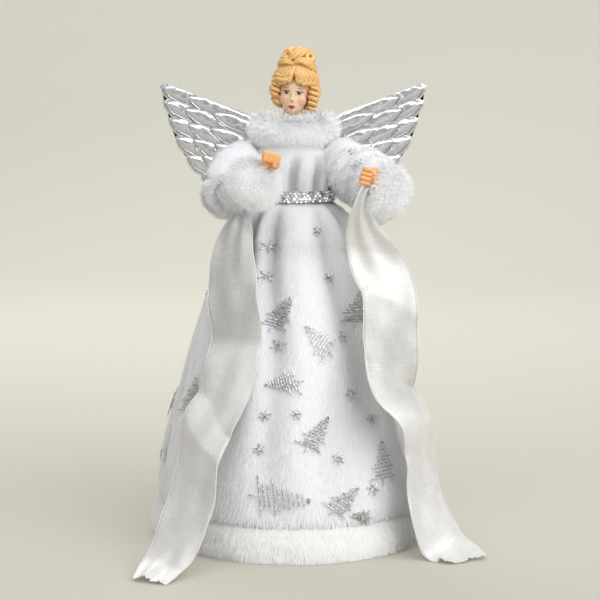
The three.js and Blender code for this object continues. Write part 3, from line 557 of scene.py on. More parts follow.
# The bust form: a turned block of polystyrene foam on top of the cone, hidden by the bodice.
# The armature: soft galvanised wire, cut and bent, from shoulder to shoulder and down inside each sleeve.
BEAD_SIZE = 2.5 * MM
WIRE_SPANGLE = 1.2 * MM
foam, tree, shader = surface("polystyrene_foam")
place = node(tree, "ShaderNodeTexCoord").outputs["Object"]
bead = node(tree, "ShaderNodeTexVoronoi", {"Vector": place, "Scale": 1 / BEAD_SIZE}).outputs["Distance"]
tone = node(tree, "ShaderNodeMix", {"Factor": bead, 6: linear("#F4F3F0"), 7: linear("#DCDAD4")}, data_type="RGBA")
dimple = node(tree, "ShaderNodeBump", {"Height": bead, "Distance": 0.3 * MM, "Strength": 0.6}, invert=True)
fill(tree, shader, {"Base Color": tone.outputs[2], "Roughness": 0.7, "Normal": dimple.outputs["Normal"]})
galvanised, tree, shader = surface("galvanised_wire")
place = node(tree, "ShaderNodeTexCoord").outputs["Object"]
spangle = node(tree, "ShaderNodeTexVoronoi", {"Vector": place, "Scale": 1 / WIRE_SPANGLE}).outputs["Color"]
tone = node(tree, "ShaderNodeMix", {"Factor": spangle, 6: linear("#8F9294"), 7: linear("#B9BCBE")}, data_type="RGBA")
fill(tree, shader, {"Base Color": tone.outputs[2], "Metallic": 1, "Roughness": 0.4})
coat_node("torso_form", foam)
for name in ("shoulder_wire", "left_arm_wire", "right_arm_wire"):
    coat_node(name, galvanised)

# The bodice: the same plush, drawn down into the belt in deep pleats over the bust form.
# The pleats are deepest at the front and the nap is shorter than the skirt's. The whole bodice is painted a little
# darker than the skirt and its pleats' hollows darker still: painted shade.
BUST = [(23.0, 216.2), (24.2, 222), (25.4, 229), (26.0, 238), (24.6, 246), (21, 252), (14.5, 257)]
PLEAT_DEPTH = 2.3 * MM
PLEATS_ROUND = 9.5
PLEAT_TURN = 0.37
GATHER_DEPTH = 0.5 * MM
GATHERS_ROUND = 34
BODICE_INSET = 0.4 * MM
BODICE_WALL = 0.8 * MM
bodice_low, bodice_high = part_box("bodice")
profile = [Vector(low).lerp(Vector(high), part / 3) * MM for low, high in zip(BUST, BUST[1:]) for part in range(3)]
bodice_shape = spun(profile + [Vector(BUST[-1]) * MM], 180)
bodice_painted_shade = bodice_shape.verts.layers.float.new("painted_shade")
for vertex in bodice_shape.verts:
    around = around_of(vertex.co)
    rise = (vertex.co.z - bodice_low.z) / (bodice_high.z - bodice_low.z)
    front = max(math.cos(around), 0) ** 0.6
    depth = front * math.sin(math.pi * held(rise / 0.85)) ** 0.7
    fold = math.cos(PLEATS_ROUND * (around - PLEAT_TURN) + 0.5 * math.sin(5 * rise))
    # Painted shade: a little over the whole bodice, and more in the pleats' hollows towards the front.
    vertex[bodice_painted_shade] = 0.4 + held(0.15 - 1.6 * fold, 0, 1.3) * depth
    gather = GATHER_DEPTH * math.cos(GATHERS_ROUND * around + 3 * math.sin(2 * around)) * max(1 - 2 * rise, 0)
    vertex.co.xy *= 1 + (PLEAT_DEPTH * depth * fold + gather - BODICE_INSET) / vertex.co.xy.length
    vertex.co.y *= BODY_DEPTH_RATIO
bodice = piece_of("plush_bodice", bodice_shape, plush_fibre, outward=True)
bodice_nap = grow_pile(bodice, "_nap", strands=22000, length=2.6 * MM, width=0.45 * MM, rows=1,
                       comb=(0, 0, -2.0), mess=0.35, seed=31)
give_wall(bodice, BODICE_WALL, -1)
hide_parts("bodice")
belong("dress", "plush", bodice, bodice_nap)

# The belt: rows of cupped silver sequins sewn edge over edge on a narrow braid.
# Each cup faces its own way, so a few flash and the rest stay grey.
SEQUIN_RADIUS = 1.25 * MM
SEQUIN_CUP = 0.45 * MM
SEQUIN_LEAN = 0.5
SEQUIN_ROWS = 4
SEQUINS_ROUND = 68
belt_low, belt_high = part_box("belt")
belt_radius = belt_high.x + 0.3 * MM
sequin_foil, tree, shader = surface("vacuum_coated_sequin")
place = node(tree, "ShaderNodeTexCoord").outputs["Object"]
patch = node(tree, "ShaderNodeTexVoronoi", {"Vector": place, "Scale": 1 / (2.2 * MM)}).outputs["Distance"]
tone = node(tree, "ShaderNodeMix", {"Factor": patch, 6: linear("#DCDDE0"), 7: linear("#F8F8F9")}, data_type="RGBA")
fill(tree, shader, {"Base Color": tone.outputs[2], "Metallic": 1, "Roughness": 0.24})
coat_node("belt", sequin_foil)
sequin_shape = bmesh.new()
for row in range(SEQUIN_ROWS):
    height = between((belt_low.z, belt_high.z), (row + 0.5) / SEQUIN_ROWS)
    for k in range(SEQUINS_ROUND):
        around = 2 * math.pi * (k + 0.5 * (row % 2)) / SEQUINS_ROUND
        centre = round_body(belt_radius, around, height)
        out = round_body(1, around, 0, 1 / BODY_DEPTH_RATIO).normalized()
        lean = out + Vector([chance.uniform(-SEQUIN_LEAN, SEQUIN_LEAN) for _ in range(3)])
        seat = Matrix.Translation(centre) @ lean.to_track_quat("Z", "Y").to_matrix().to_4x4()
        made = bmesh.ops.create_circle(sequin_shape, cap_ends=True, cap_tris=True, segments=8,
                                       radius=SEQUIN_RADIUS, matrix=seat)["verts"]
        hub = min(made, key=lambda vertex: (vertex.co - centre).length)
        hub.co -= lean.normalized() * SEQUIN_CUP
belt_sequins = piece_of("belt_sequins", sequin_shape, sequin_foil, smooth=False)
belong("dress", "sequin", belt_sequins)

# The collar: a thick roll of long white fur round the neck, sewn to the bodice's top edge.
# Its fibres stand out all round in soft tufts, and the roll dips at the front and is pressed flat at the back.
FUR_LENGTH = 6.5 * MM
COLLAR_RADIUS = 18.5 * MM
COLLAR_HEIGHT = 263 * MM
COLLAR_ROLL = 7 * MM
COLLAR_SIDES = 20
COLLAR_DIP = 0.55
COLLAR_BACK = 17 * MM
TUFT_SIZE = 10 * MM
TUFT_DEPTH = 2 * MM
# The fur's roots are painted greyer than the plush's, for the deeper shade in the long pile: painted shade.
fur_fibre = fibre_finish("faux_fur", "#D8D9DC", "#FBFBFB")
turns = [2 * math.pi * k / COLLAR_SIDES for k in range(COLLAR_SIDES)]
ring = [(COLLAR_RADIUS + COLLAR_ROLL * math.cos(turn), COLLAR_HEIGHT + COLLAR_ROLL * math.sin(turn))
        for turn in turns]
collar_shape = spun(ring, 72, closed=True)
for vertex in collar_shape.verts:
    lump = noise.noise(vertex.co / TUFT_SIZE) * TUFT_DEPTH
    vertex.co.xy *= 1 + lump / vertex.co.xy.length
    vertex.co.z += lump
    front = max(-vertex.co.y / vertex.co.xy.length, 0) ** 2
    vertex.co.z -= max(vertex.co.z - COLLAR_HEIGHT, 0) * COLLAR_DIP * front
    vertex.co.y = min(vertex.co.y * BODY_DEPTH_RATIO, COLLAR_BACK)
collar = piece_of("fur_collar", collar_shape, fur_fibre, outward=True)
collar_pile = grow_pile(collar, "_pile", strands=42000, length=FUR_LENGTH, width=0.5 * MM, rows=2,
                        comb=(0, 0, -0.9), mess=0.8, seed=41)
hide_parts("collar")
belong("dress", "fur", collar, collar_pile)

# The head: a doll's head and neck moulded in one from soft vinyl, on a peg that turns in the bust form.
# The face is painted by hand: dark eyes under thin brows, a pink blush and small red lips.
NECK_TOP = Vector((0, 0, 273 * MM))
SKULL_CENTRE = Vector((0, 0, 286.5 * MM))
HEAD_TILT = Matrix.Rotation(math.radians(5), 4, "Y") @ Matrix.Rotation(math.radians(-7), 4, "Z")
head_seat = Matrix.Translation(NECK_TOP) @ HEAD_TILT @ Matrix.Translation(SKULL_CENTRE - NECK_TOP)
to_skull = head_seat.inverted()


def ball(place, *radii):
    """A lump with one middle. Every lump is a start, an end and three radii in mm."""
    return place, place, radii


# Lumps in mm from the skull's middle: skull, jaw and chin; the nose; the lips; eyeball, cheek, brow and ear.
SKULL = [ball((0, 0, 0), 10.2, 11.2, 12.4), ball((0, -4, -7.2), 7.6, 7.4, 8.6),
         ball((0, -8.4, -12.4), 2.8, 2.6, 2.5)]
NOSE = [((0, -10.3, -1), (0, -11.6, -5.4), (1, 1, 1)), ball((0, -11.9, -6), 1.4, 1.3, 1.1)]
LIPS = [((-1.4, -10.7, -10.3), (1.4, -10.7, -10.3), (0.75, 0.8, 0.8)),
        ((-1, -10.5, -11.6), (1, -10.5, -11.6), (0.8, 0.9, 0.9))]
PAIRED = [ball((3.9, -8.7, -1.6), 2.1, 2, 1.8), ball((4.5, -6.4, -6), 4.2, 4.1, 4.4),
          ((2, -9.8, 1.5), (6, -8.6, 1.4), (0.9, 0.9, 0.9)), ball((9.9, 0.5, -2.5), 1.3, 2, 3)]
# Ovals of paint: across and up the face in mm, half width, half height, colour, softness of the edge and cover.
# Each half of the face has a blush, a lid, the white of the eye, an iris, a lash, a brow, half a lip and a nostril.
PAINT_EACH_SIDE = [(5.8, -6.2, 2.6, 2.1, "#E4907A", 0.75, 0.45), (4.1, -0.6, 2.6, 1.2, "#D8AE92", 0.5, 0.5),
                   (4.1, -1.6, 1.9, 0.85, "#DED6CC", 0.15, 1), (4.0, -1.5, 1.25, 1.1, "#241A14", 0.15, 1),
                   (4.3, -0.8, 2.3, 0.42, "#2E211A", 0.35, 1), (4.6, 1.2, 2.3, 0.36, "#94683F", 0.5, 0.8),
                   (0.85, -10.3, 1.35, 0.66, "#AE3229", 0.2, 1), (0.55, -7, 0.3, 0.25, "#B4755A", 0.4, 1)]
# The glints of both eyes, then the lower lip.
PAINT_ONCE = [(-3.75, -1.15, 0.24, 0.24, "#F4F0EA", 0.15, 1), (4.45, -1.15, 0.24, 0.24, "#F4F0EA", 0.15, 1),
              (0, -11.3, 1.5, 0.78, "#BA3D32", 0.2, 1)]
FACE_DEPTH = -4.0
# The neck and the peg under it, in mm: heights of both ends, how far back they stand, and radii.
NECK_AND_PEG = [((261, 276), 1, (6.2, 6.2, 6)), ((253.5, 262), 0, (4.3, 4.3, 4.2))]


def melt(piece, grain, eased):
    """Closes a piece's overlapping lumps into one skin and eases it."""
    skin = piece.modifiers.new("skin", "REMESH")
    skin.mode = "VOXEL"
    skin.voxel_size = grain
    skin.use_smooth_shade = True
    ease = piece.modifiers.new("ease", "SMOOTH")
    ease.factor = 0.5
    ease.iterations = eased
    return set_shape(piece)


def moulded(name, lumps, seat, finish, grain, eased=3):
    """Melts round-ended lumps into one skin, turned and placed by seat."""
    shape = bmesh.new()
    for start, end, radii in lumps:
        made = bmesh.ops.create_uvsphere(shape, u_segments=24, v_segments=16, radius=1)["verts"]
        bmesh.ops.scale(shape, vec=radii, verts=made)
        way = Vector(end) - Vector(start)
        bmesh.ops.translate(shape, vec=(0, 0, way.length), verts=[v for v in made if v.co.z > 0.01])
        if way.length:
            bmesh.ops.rotate(shape, matrix=way.to_track_quat("Z", "Y").to_matrix(), verts=made)
        bmesh.ops.translate(shape, vec=start, verts=made)
    bmesh.ops.transform(shape, matrix=seat @ Matrix.Scale(MM, 4), verts=shape.verts)
    return melt(piece_of(name, shape, finish), grain, eased)


# Painted vinyl: matt and faintly mottled.
face_vinyl, tree, shader = surface("painted_vinyl_face")
to_face = Matrix.Scale(1 / MM, 4) @ to_skull
place = node(tree, "ShaderNodeTexCoord").outputs["Object"]
face_place = node(tree, "ShaderNodeMapping", {
    "Vector": place, "Location": to_face.to_translation(), "Rotation": to_skull.to_euler(),
    "Scale": [1 / MM] * 3}).outputs[0]
depth = node(tree, "ShaderNodeSeparateXYZ", {0: face_place}).outputs["Y"]
front = node(tree, "ShaderNodeMath", {0: depth, 1: FACE_DEPTH}, operation="LESS_THAN").outputs[0]
mottle = node(tree, "ShaderNodeTexNoise", {"Vector": place, "Scale": 1 / (6 * MM), "Detail": 3}).outputs["Fac"]
skin = node(tree, "ShaderNodeMix", {"Factor": mottle, 6: linear("#E8C29C"), 7: linear("#F2D8BA")}, data_type="RGBA")
ovals = [(side * across, *rest) for side in (-1, 1) for across, *rest in PAINT_EACH_SIDE]
for across, up, wide, high, colour, edge, cover in ovals + PAINT_ONCE:
    away = face_place
    for operation, by in (("SUBTRACT", (across, 0, up)), ("MULTIPLY", (1 / wide, 0, 1 / high))):
        away = node(tree, "ShaderNodeVectorMath", {0: away, 1: by}, operation=operation).outputs[0]
    away = node(tree, "ShaderNodeVectorMath", {0: away}, operation="LENGTH").outputs["Value"]
    inside = node(tree, "ShaderNodeMapRange", {
        "Value": away, "From Min": 1 + edge, "From Max": 1 - edge, "To Max": cover}, interpolation_type="SMOOTHSTEP")
    share = node(tree, "ShaderNodeMath", {0: inside.outputs[0], 1: front}, operation="MULTIPLY").outputs[0]
    skin = node(tree, "ShaderNodeMix", {"Factor": share, 6: skin.outputs[2], 7: linear(colour)}, data_type="RGBA")
fill(tree, shader, {"Base Color": skin.outputs[2], "Roughness": 0.42, "Specular IOR Level": 0.4})

lumps = SKULL + NOSE + LIPS
for start, end, radii in PAIRED:
    lumps += [(start, end, radii), ((-start[0], *start[1:]), (-end[0], *end[1:]), radii)]
for heights, back, radii in NECK_AND_PEG:
    ends = [to_skull @ (Vector((0, back, height)) * MM) / MM for height in heights]
    lumps.append((*ends, radii))
doll_head = moulded("doll_head", lumps, head_seat, face_vinyl, grain=0.4 * MM)
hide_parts("head")
belong("head", "skin", doll_head)

# The hair: a moulded golden wig in one piece with the head, parted in the middle and swept up to a bun.
# Thick grooved locks wrap the bun, a fringe falls to both temples and ringlets hang beside the cheeks.
GROOVES_ROUND = 9
# Radius of the wig at heights above the skull's middle, in mm.
WIG_RADII = [(24, 8), (18, 9.6), (14, 11.2), (10, 12.4), (5, 13.4), (0, 13.6), (-6, 12.4), (-12, 9.6)]
WIG_SET_BACK = 1.2
WIG = [ball((0, 2, 1.4), 12.2, 11.8, 12.4), ball((0, 0.6, 11.5), 11, 10.6, 8), ball((0, 0.3, 19.2), 8.2, 8, 5.4)]
HAIRLINE = (0, -10.6, 6.2)
HAIRLINE_FACES = (0, -0.78, -0.62)
# The fringe: degrees where a lock leaves the crown and where it ends, the height of its end and the lift of its hook.
FRINGE = [(3, 13, 6, 0.6), (8, 25, 5, 1.2), (13, 38, 5.4, 1.4), (20, 51, 5.4, 1.8), (29, 65, 4.6, 2.2),
          (40, 80, 2.8, 2.6), (-3, -12, 6.4, 2), (-8, -25, 5, 2.2), (-14, -39, 4.4, 2.4), (-21, -53, 4, 2.6),
          (-30, -67, 3.4, 2.6), (-41, -82, 2, 2.6)]
# Rolls over the ends of the fringe's left half: stops on the wig, and the thickness.
ROLLS = [([(-8, 7.4, 1), (-24, 5.6, 1.7), (-42, 6.2, 1.9), (-60, 5, 1.6), (-78, 6, 1.4), (-92, 3, 1)], 1.7),
         ([(-16, 9.6, 1), (-34, 8.2, 1.7), (-52, 8.8, 1.7), (-70, 7.6, 1.5), (-88, 7, 1)], 1.5)]
BACK_LOCKS = 17
# A lock up the back of the head: radius, turn and height of its stops.
BACK_LOCK = [(9, 0, -11.5), (12, 0, -6), (13.2, 0.06, 1), (12.6, 0.12, 8), (10.4, 0.18, 14), (7, 0.3, 18)]
# Ringlets beside the cheeks: middle, radius, top, foot and number of turns.
RINGLETS = [((12.6, -5.6), 2.1, 4.4, -12.2, 5), ((12.8, -1.4), 1.8, 3, -10.4, 4), ((-11.9, -6), 1.9, 4.6, -5.4, 3.2),
            ((-12.2, -2), 1.8, 2.6, -8.6, 3.6), ((-9.8, -4.6), 1.2, -3.6, -10.8, 2.4)]
# Bands drawn across the bun's foot, heights of the bands behind it, and fat strands over its front.
BUN_BANDS = [([(-11.4, -3.6, 14.6), (-9.6, -8, 16.8), (-5.4, -10.6, 17.4), (-1, -11.2, 16.2)], 1.9),
             ([(-10.2, -2, 17.6), (-8.4, -7.4, 19.4), (-4.4, -9.8, 19.4)], 1.8),
             ([(-2.4, -11, 17), (3, -11.2, 18.4), (7.4, -9.4, 17.2), (11, -5.6, 14.6), (12.6, 0.6, 12.2)], 1.9),
             ([(0.6, -10.8, 20), (5, -9.6, 19.8), (9.4, -6.2, 17.8), (11.4, -0.6, 15.4), (9.8, 5, 14.6)], 1.7)]
BUN_BACK_BANDS = (16.5, 20.1)
BUN_STRANDS = [([(-4.6, -9.8, 18.2), (-1.6, -9.8, 21.4), (1.4, -7.6, 25), (3.4, -3, 26.2), (4, 2, 24.6)], 2.2),
               ([(-0.4, -10.2, 19), (2.4, -9.6, 22.4), (5, -6.8, 25.2), (6.4, -2, 25.6), (6.4, 3, 23.6)], 2.2)]
# Pin curls on the bun: middle, axis, radius and thickness.
PIN_CURLS = [((-5.4, -6.2, 22), (-0.5, -0.85, 0.25), 3.1, 1.9), ((7.6, -4.8, 21.8), (0.75, -0.6, 0.25), 3.3, 1.9),
             ((-4.4, -1.4, 24.2), (-0.4, -0.2, 0.9), 3, 2), ((1, 1.6, 24.6), (0.1, 0.2, 1), 3, 2),
             ((-7.4, 1, 20.6), (-0.95, 0.1, 0.3), 3.2, 2), ((7.6, 2.6, 20.6), (0.9, 0.4, 0.3), 3.2, 2),
             ((-4.2, 6.8, 21), (-0.5, 0.85, 0.3), 3.2, 2), ((3.4, 7.2, 21), (0.4, 0.9, 0.3), 3.2, 2)]
PIN_CURL_TURNS = 1.3

moulded_hair, tree, shader = surface("moulded_vinyl_hair")
place = node(tree, "ShaderNodeTexCoord").outputs
streak = node(tree, "ShaderNodeTexNoise", {"Vector": place["Object"], "Scale": 1 / (7 * MM), "Detail": 2})
streak = streak.outputs["Fac"]
round_lock = node(tree, "ShaderNodeSeparateXYZ", {0: place["UV"]}).outputs["Y"]
turns = node(tree, "ShaderNodeMath", {0: round_lock, 1: GROOVES_ROUND, 2: streak}, operation="MULTIPLY_ADD")
# Each lock is painted darker in its grooves and lighter on its crests: painted shade and painted highlight.
groove_and_shade = node(tree, "ShaderNodeMath", {0: turns.outputs[0], 1: 1.0}, operation="PINGPONG").outputs[0]
tone = node(tree, "ShaderNodeMix", {"Factor": groove_and_shade, 6: linear("#CC8A40"), 7: linear("#FBD698")}, data_type="RGBA")
blond = node(tree, "ShaderNodeMix", {"Factor": streak, 6: tone.outputs[2], 7: linear("#F7C980")}, data_type="RGBA")
grooves = node(tree, "ShaderNodeBump", {"Height": groove_and_shade, "Distance": 0.35 * MM, "Strength": 0.7})
fill(tree, shader, {"Base Color": blond.outputs[2], "Roughness": 0.38, "Normal": grooves.outputs["Normal"]})


def smooth_route(stops, steps):
    """A soft curve through every stop, as a list of points."""
    stops = [Vector(stop) for stop in stops]
    ends = [2 * stops[0] - stops[1]] + stops + [2 * stops[-1] - stops[-2]]
    route = []
    for before, start, end, after in zip(ends, ends[1:], ends[2:], ends[3:]):
        for t in [k / steps for k in range(steps)]:
            pull = 2 * before - 5 * start + 4 * end - after
            swing = 3 * start - before - 3 * end + after
            route.append(start + 0.5 * ((end - before) * t + pull * t * t + swing * t ** 3))
    return route + [stops[-1]]


def lock(stops, thick, steps=7):
    """One lock of hair through stops in mm, fat in the middle and thin at both ends: its route and its radii."""
    route = smooth_route(stops, steps)
    last = len(route) - 1
    return route, [thick * max(math.sin(math.pi * (0.06 + 0.88 * k / last)), 0) ** 0.5 for k in range(last + 1)]


def ring_point(radius, around, height, back=WIG_SET_BACK):
    """A point round the head in mm; around is measured from the front towards the right."""
    return Vector((radius * math.sin(around), back - radius * math.cos(around), height))


def along_list(pairs, value):
    """A value between listed ones, at a height between falling listed ones."""
    for (high, first), (low, second) in zip(pairs, pairs[1:]):
        if value >= low:
            return between((first, second), held((high - value) / (high - low)))
    return pairs[-1][1]


def on_wig(degrees, height, out=0.0):
    """A point on the wig in mm; degrees are measured from the parting towards the right."""
    return ring_point(along_list(WIG_RADII, height) + out, math.radians(degrees), height)


locks = []
for leaves, ends, foot, hook in FRINGE:
    side = math.copysign(1, ends)
    sweep = ends - leaves
    locks.append(lock([
        on_wig(leaves * 0.7, 18.6), on_wig(leaves + 0.12 * sweep, 15.4, 0.3),
        on_wig(leaves + 0.45 * sweep, 10.8, 0.7), on_wig(leaves + 0.8 * sweep, foot + 3, 0.6),
        on_wig(ends, foot, -0.1), on_wig(ends + 5 * side, foot - 0.3, 0.5),
        on_wig(ends + 10 * side, foot + hook, 1.1)], 1.9))
    locks.append(lock([
        on_wig(leaves + 2 * side, 17.5, 0.9), on_wig(leaves + 0.5 * sweep + 3 * side, 10.6, 2),
        on_wig(leaves + 0.85 * sweep + 4 * side, foot + 2.6, 1.8), on_wig(ends + 6 * side, foot + 0.6, 1.4)], 0.8))
locks += [lock([on_wig(*stop) for stop in stops], thick) for stops, thick in ROLLS]
# Waves over the ears, in three columns on each side.
for side in (-1, 1):
    for column in range(3):
        stops = []
        for k in range(9):
            sway = 5 * math.sin(k * 1.6 + column * 1.3 + side)
            out = 0.9 + 0.8 * math.cos(k * 1.6 + column)
            stops.append(on_wig(side * (78 + 15 * column + sway), 6 - 2 * k + 0.5 * column, out))
        locks.append(lock(stops, 1.9, 4))
for k in range(BACK_LOCKS):
    around = math.radians(70 + 220 * k / (BACK_LOCKS - 1))
    locks.append(lock([ring_point(radius, around + turn, height) for radius, turn, height in BACK_LOCK], 2.3))
for middle, radius, top, foot, turns in RINGLETS:
    stops = []
    for k in range(int(turns * 8) + 1):
        coil = ring_point(radius, 0.6 * middle[1] + k * math.pi / 4, between((top, foot), k / (turns * 8)), 0)
        stops.append(coil + Vector((*middle, 0)))
    locks.append(lock(stops, 1.45, 3))
locks += [lock(stops, thick) for stops, thick in BUN_BANDS]
for height in BUN_BACK_BANDS:
    locks.append(lock([ring_point(9.8, math.radians(angle), height, 0.5) for angle in range(85, 290, 29)], 2.5))
locks += [lock(stops, thick) for stops, thick in BUN_STRANDS]
for centre, axis, radius, thick in PIN_CURLS:
    axis = Vector(axis).normalized()
    across = axis.orthogonal().normalized()
    stops = []
    for share in [k / 12 for k in range(13)]:
        spoke = Matrix.Rotation(2 * math.pi * PIN_CURL_TURNS * share, 3, axis) @ across
        stops.append(Vector(centre) + spoke * radius * (1 - 0.5 * share) + axis * 1.6 * share)
    locks.append(lock(stops, thick, 3))
rods = [([head_seat @ (place * MM) for place in route], radii) for route, radii in locks]
hair_locks = round_rods("hair_locks", rods, MM, moulded_hair, 4)
hair_locks.data.polygons.foreach_set("use_smooth", [True] * len(hair_locks.data.polygons))
hair_cap = moulded("hair_cap", WIG, head_seat, moulded_hair, grain=0.6 * MM)
opening = bmesh.new()
opening.from_mesh(hair_cap.data)
bmesh.ops.bisect_plane(opening, geom=opening.verts[:] + opening.edges[:] + opening.faces[:], clear_outer=True,
                       plane_co=head_seat @ (Vector(HAIRLINE) * MM),
                       plane_no=(head_seat.to_3x3() @ Vector(HAIRLINE_FACES)).normalized())
opening.to_mesh(hair_cap.data)
opening.free()
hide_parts("hair")
belong("head", "hair", hair_locks, hair_cap)

# The sleeves: tubes of the same plush, stuffed soft and bent over a wire from the shoulder to the cuff.
# They crease on the inside of the elbow, with the creases' hollows painted darker as painted shade, and the silver
# motifs run over them too.
ARM_STOPS = {"left": [(-28, 1, 246), (-41.5, -9.5, 235), (-42.5, -19, 221.5), (-25, -50, 231.5)],
             "right": [(27, 0, 246), (36, -10, 239), (45.5, -19, 232.5), (57, -45, 225.5)]}
SLEEVE_RADII = {"left": [11, 12, 12.4, 12.4, 10], "right": [12, 15, 17.6, 17, 12.5]}
ELBOW = 2
CREASE_DEPTH = 1.1 * MM
CREASE_SPACING = 8 * MM
CREASE_REACH = 34 * MM
ROUTE_STEP = 1.6 * MM
STUFFING_LUMP = 1.6 * MM
SLEEVE_MOTIF_LIFT = 1.4 * MM
# Motifs on each sleeve: the stitches, the nearest place in mm, tilt and size.
SLEEVE_MOTIFS = {"left": [(fir_stitches, (-50, -34, 216), 40, 0.8), (star_stitches, (-55, -14, 232), 0, 0.8),
                          (fir_stitches, (-56, 2, 226), 150, 0.8)],
                 "right": [(star_stitches, (37, -24, 247), 0, 0.8), (star_stitches, (44, -30, 236), 25, 0.9),
                           (fir_stitches, (50, 4, 240), 60, 0.8)]}


def spread(values, share):
    """A value between evenly spaced ones."""
    spot = held(share, 0, 0.9999) * (len(values) - 1)
    low = int(spot)
    return between(values[low:low + 2], spot - low)


def cloth_spot(cloth, place):
    """A function that carries flat points to the nearest cloth round one place."""
    near, normal = cloth.find_nearest(place)[:2]
    turn = normal.to_track_quat("Z", "Y").to_matrix()

    def carry(flat):
        hit, out = cloth.find_nearest(near + turn @ flat.to_3d())[:2]
        return hit + out * SLEEVE_MOTIF_LIFT
    return carry


for side in ("left", "right"):
    route = [stop * MM for stop in smooth_route(ARM_STOPS[side], 10)]
    radii = [spread(SLEEVE_RADII[side], k / (len(route) - 1)) for k in range(len(route))]
    sleeve = round_rods(side + "_plush_sleeve", [(route, radii)], MM, plush_fibre, 10)
    melt(sleeve, grain=1.3 * MM, eased=8)
    elbow = Vector(ARM_STOPS[side][ELBOW]) * MM
    painted_shade = sleeve.data.attributes.new("painted_shade", "FLOAT", "POINT")
    for vertex in sleeve.data.vertices:
        near = min(range(len(route)), key=lambda k: (route[k] - vertex.co).length_squared)
        out = (vertex.co - route[near]).normalized()
        drift = 2.5 * noise.noise(vertex.co / (12 * MM))
        ripple = math.sin(2 * math.pi * near * ROUTE_STEP / CREASE_SPACING + drift)
        closeness = max(1 - (vertex.co - elbow).length / CREASE_REACH, 0)
        lump = noise.noise(vertex.co / (16 * MM) + Vector((3, 1, 7))) * STUFFING_LUMP
        vertex.co += out * (ripple * CREASE_DEPTH * closeness + lump)
        # Painted shade in the hollows of the elbow creases.
        painted_shade.data[vertex.index].value = max(-ripple, 0) * closeness * 0.6
    nap = grow_pile(sleeve, "_nap", strands=32000, length=4.6 * MM, width=0.55 * MM, rows=2,
                    comb=(0, -0.5, -1.2), mess=0.6, seed=51)
    cloth = BVHTree.FromObject(sleeve, bpy.context.evaluated_depsgraph_get())
    routes = []
    for stitches, place, tilt, size in SLEEVE_MOTIFS[side]:
        routes += sewn(stitches(), math.radians(tilt), size, cloth_spot(cloth, Vector(place) * MM))
    motifs = laid_thread("silver_motifs_" + side + "_sleeve", routes, THREAD_THICKNESS, silver_thread)
    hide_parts(side + "_sleeve")
    belong(side + "_arm", "plush", sleeve, nap)
    belong(side + "_arm", "foil", motifs)

# The cuffs: fat balls of the long fur, drawn over the sleeve ends.
# The hands: moulded vinyl fists on wrist pegs, painted a warmer peach than the face, with grooved fingers.
# Each cuff's middle in mm, the way it opens, its radius and how far the ball sags from its middle.
CUFFS = {"left": ((-26, -50, 231.5), (0.66, -0.4, 0.64), 13.6, (2.6, 0, -0.5)),
         "right": ((59, -45, 225.5), (-0.66, -0.6, 0.45), 14.6, (-4, 0, -0.5))}
FINGERS_AIM = {"left": (0.3, -0.4, 0.86), "right": (-0.9, -0.4, 0.2)}
FINGERS_ROW = {"left": (1, 0.2, -0.3), "right": (0.1, -0.1, 1)}
CUFF_LUMP = 1.4 * MM
HAND_REACH = 17.8
WRIST_REACH = (14, 2)
WRIST_RADII = (3.1, 3.1, 3)
FINGER_GAP = 2.75
FINGER_RADII = (1.42, 1.42, 1.42)
# The palm and the thumb's two joints; the fingers are curled over the palm.
FIST = [ball((0, 0.8, 0), 4.8, 3, 4.2), ((4.6, 0.4, -3), (4.9, -2.4, 0), (1.6, 1.6, 1.6)),
        ((4.9, -2.4, 0), (2.6, -4.8, 0.6), (1.4, 1.4, 1.4))]
for k in range(4):
    aside = (k - 1.5) * FINGER_GAP
    stretch = 1 - 0.07 * abs(k - 1.2)
    stops = [(aside, 1.6, 1.5), (aside, 1.2, 5.4 * stretch), (aside, -2.2, 6.6 * stretch), (aside, -4, 2.6)]
    FIST += [(start, end, FINGER_RADII) for start, end in zip(stops, stops[1:])]
hand_vinyl, tree, shader = surface("painted_vinyl_hand")
place = node(tree, "ShaderNodeTexCoord").outputs["Object"]
mottle = node(tree, "ShaderNodeTexNoise", {"Vector": place, "Scale": 1 / (4 * MM), "Detail": 3}).outputs["Fac"]
tone = node(tree, "ShaderNodeMix", {"Factor": mottle, 6: linear("#F1A562"), 7: linear("#FAC68C")}, data_type="RGBA")
fill(tree, shader, {"Base Color": tone.outputs[2], "Roughness": 0.4})

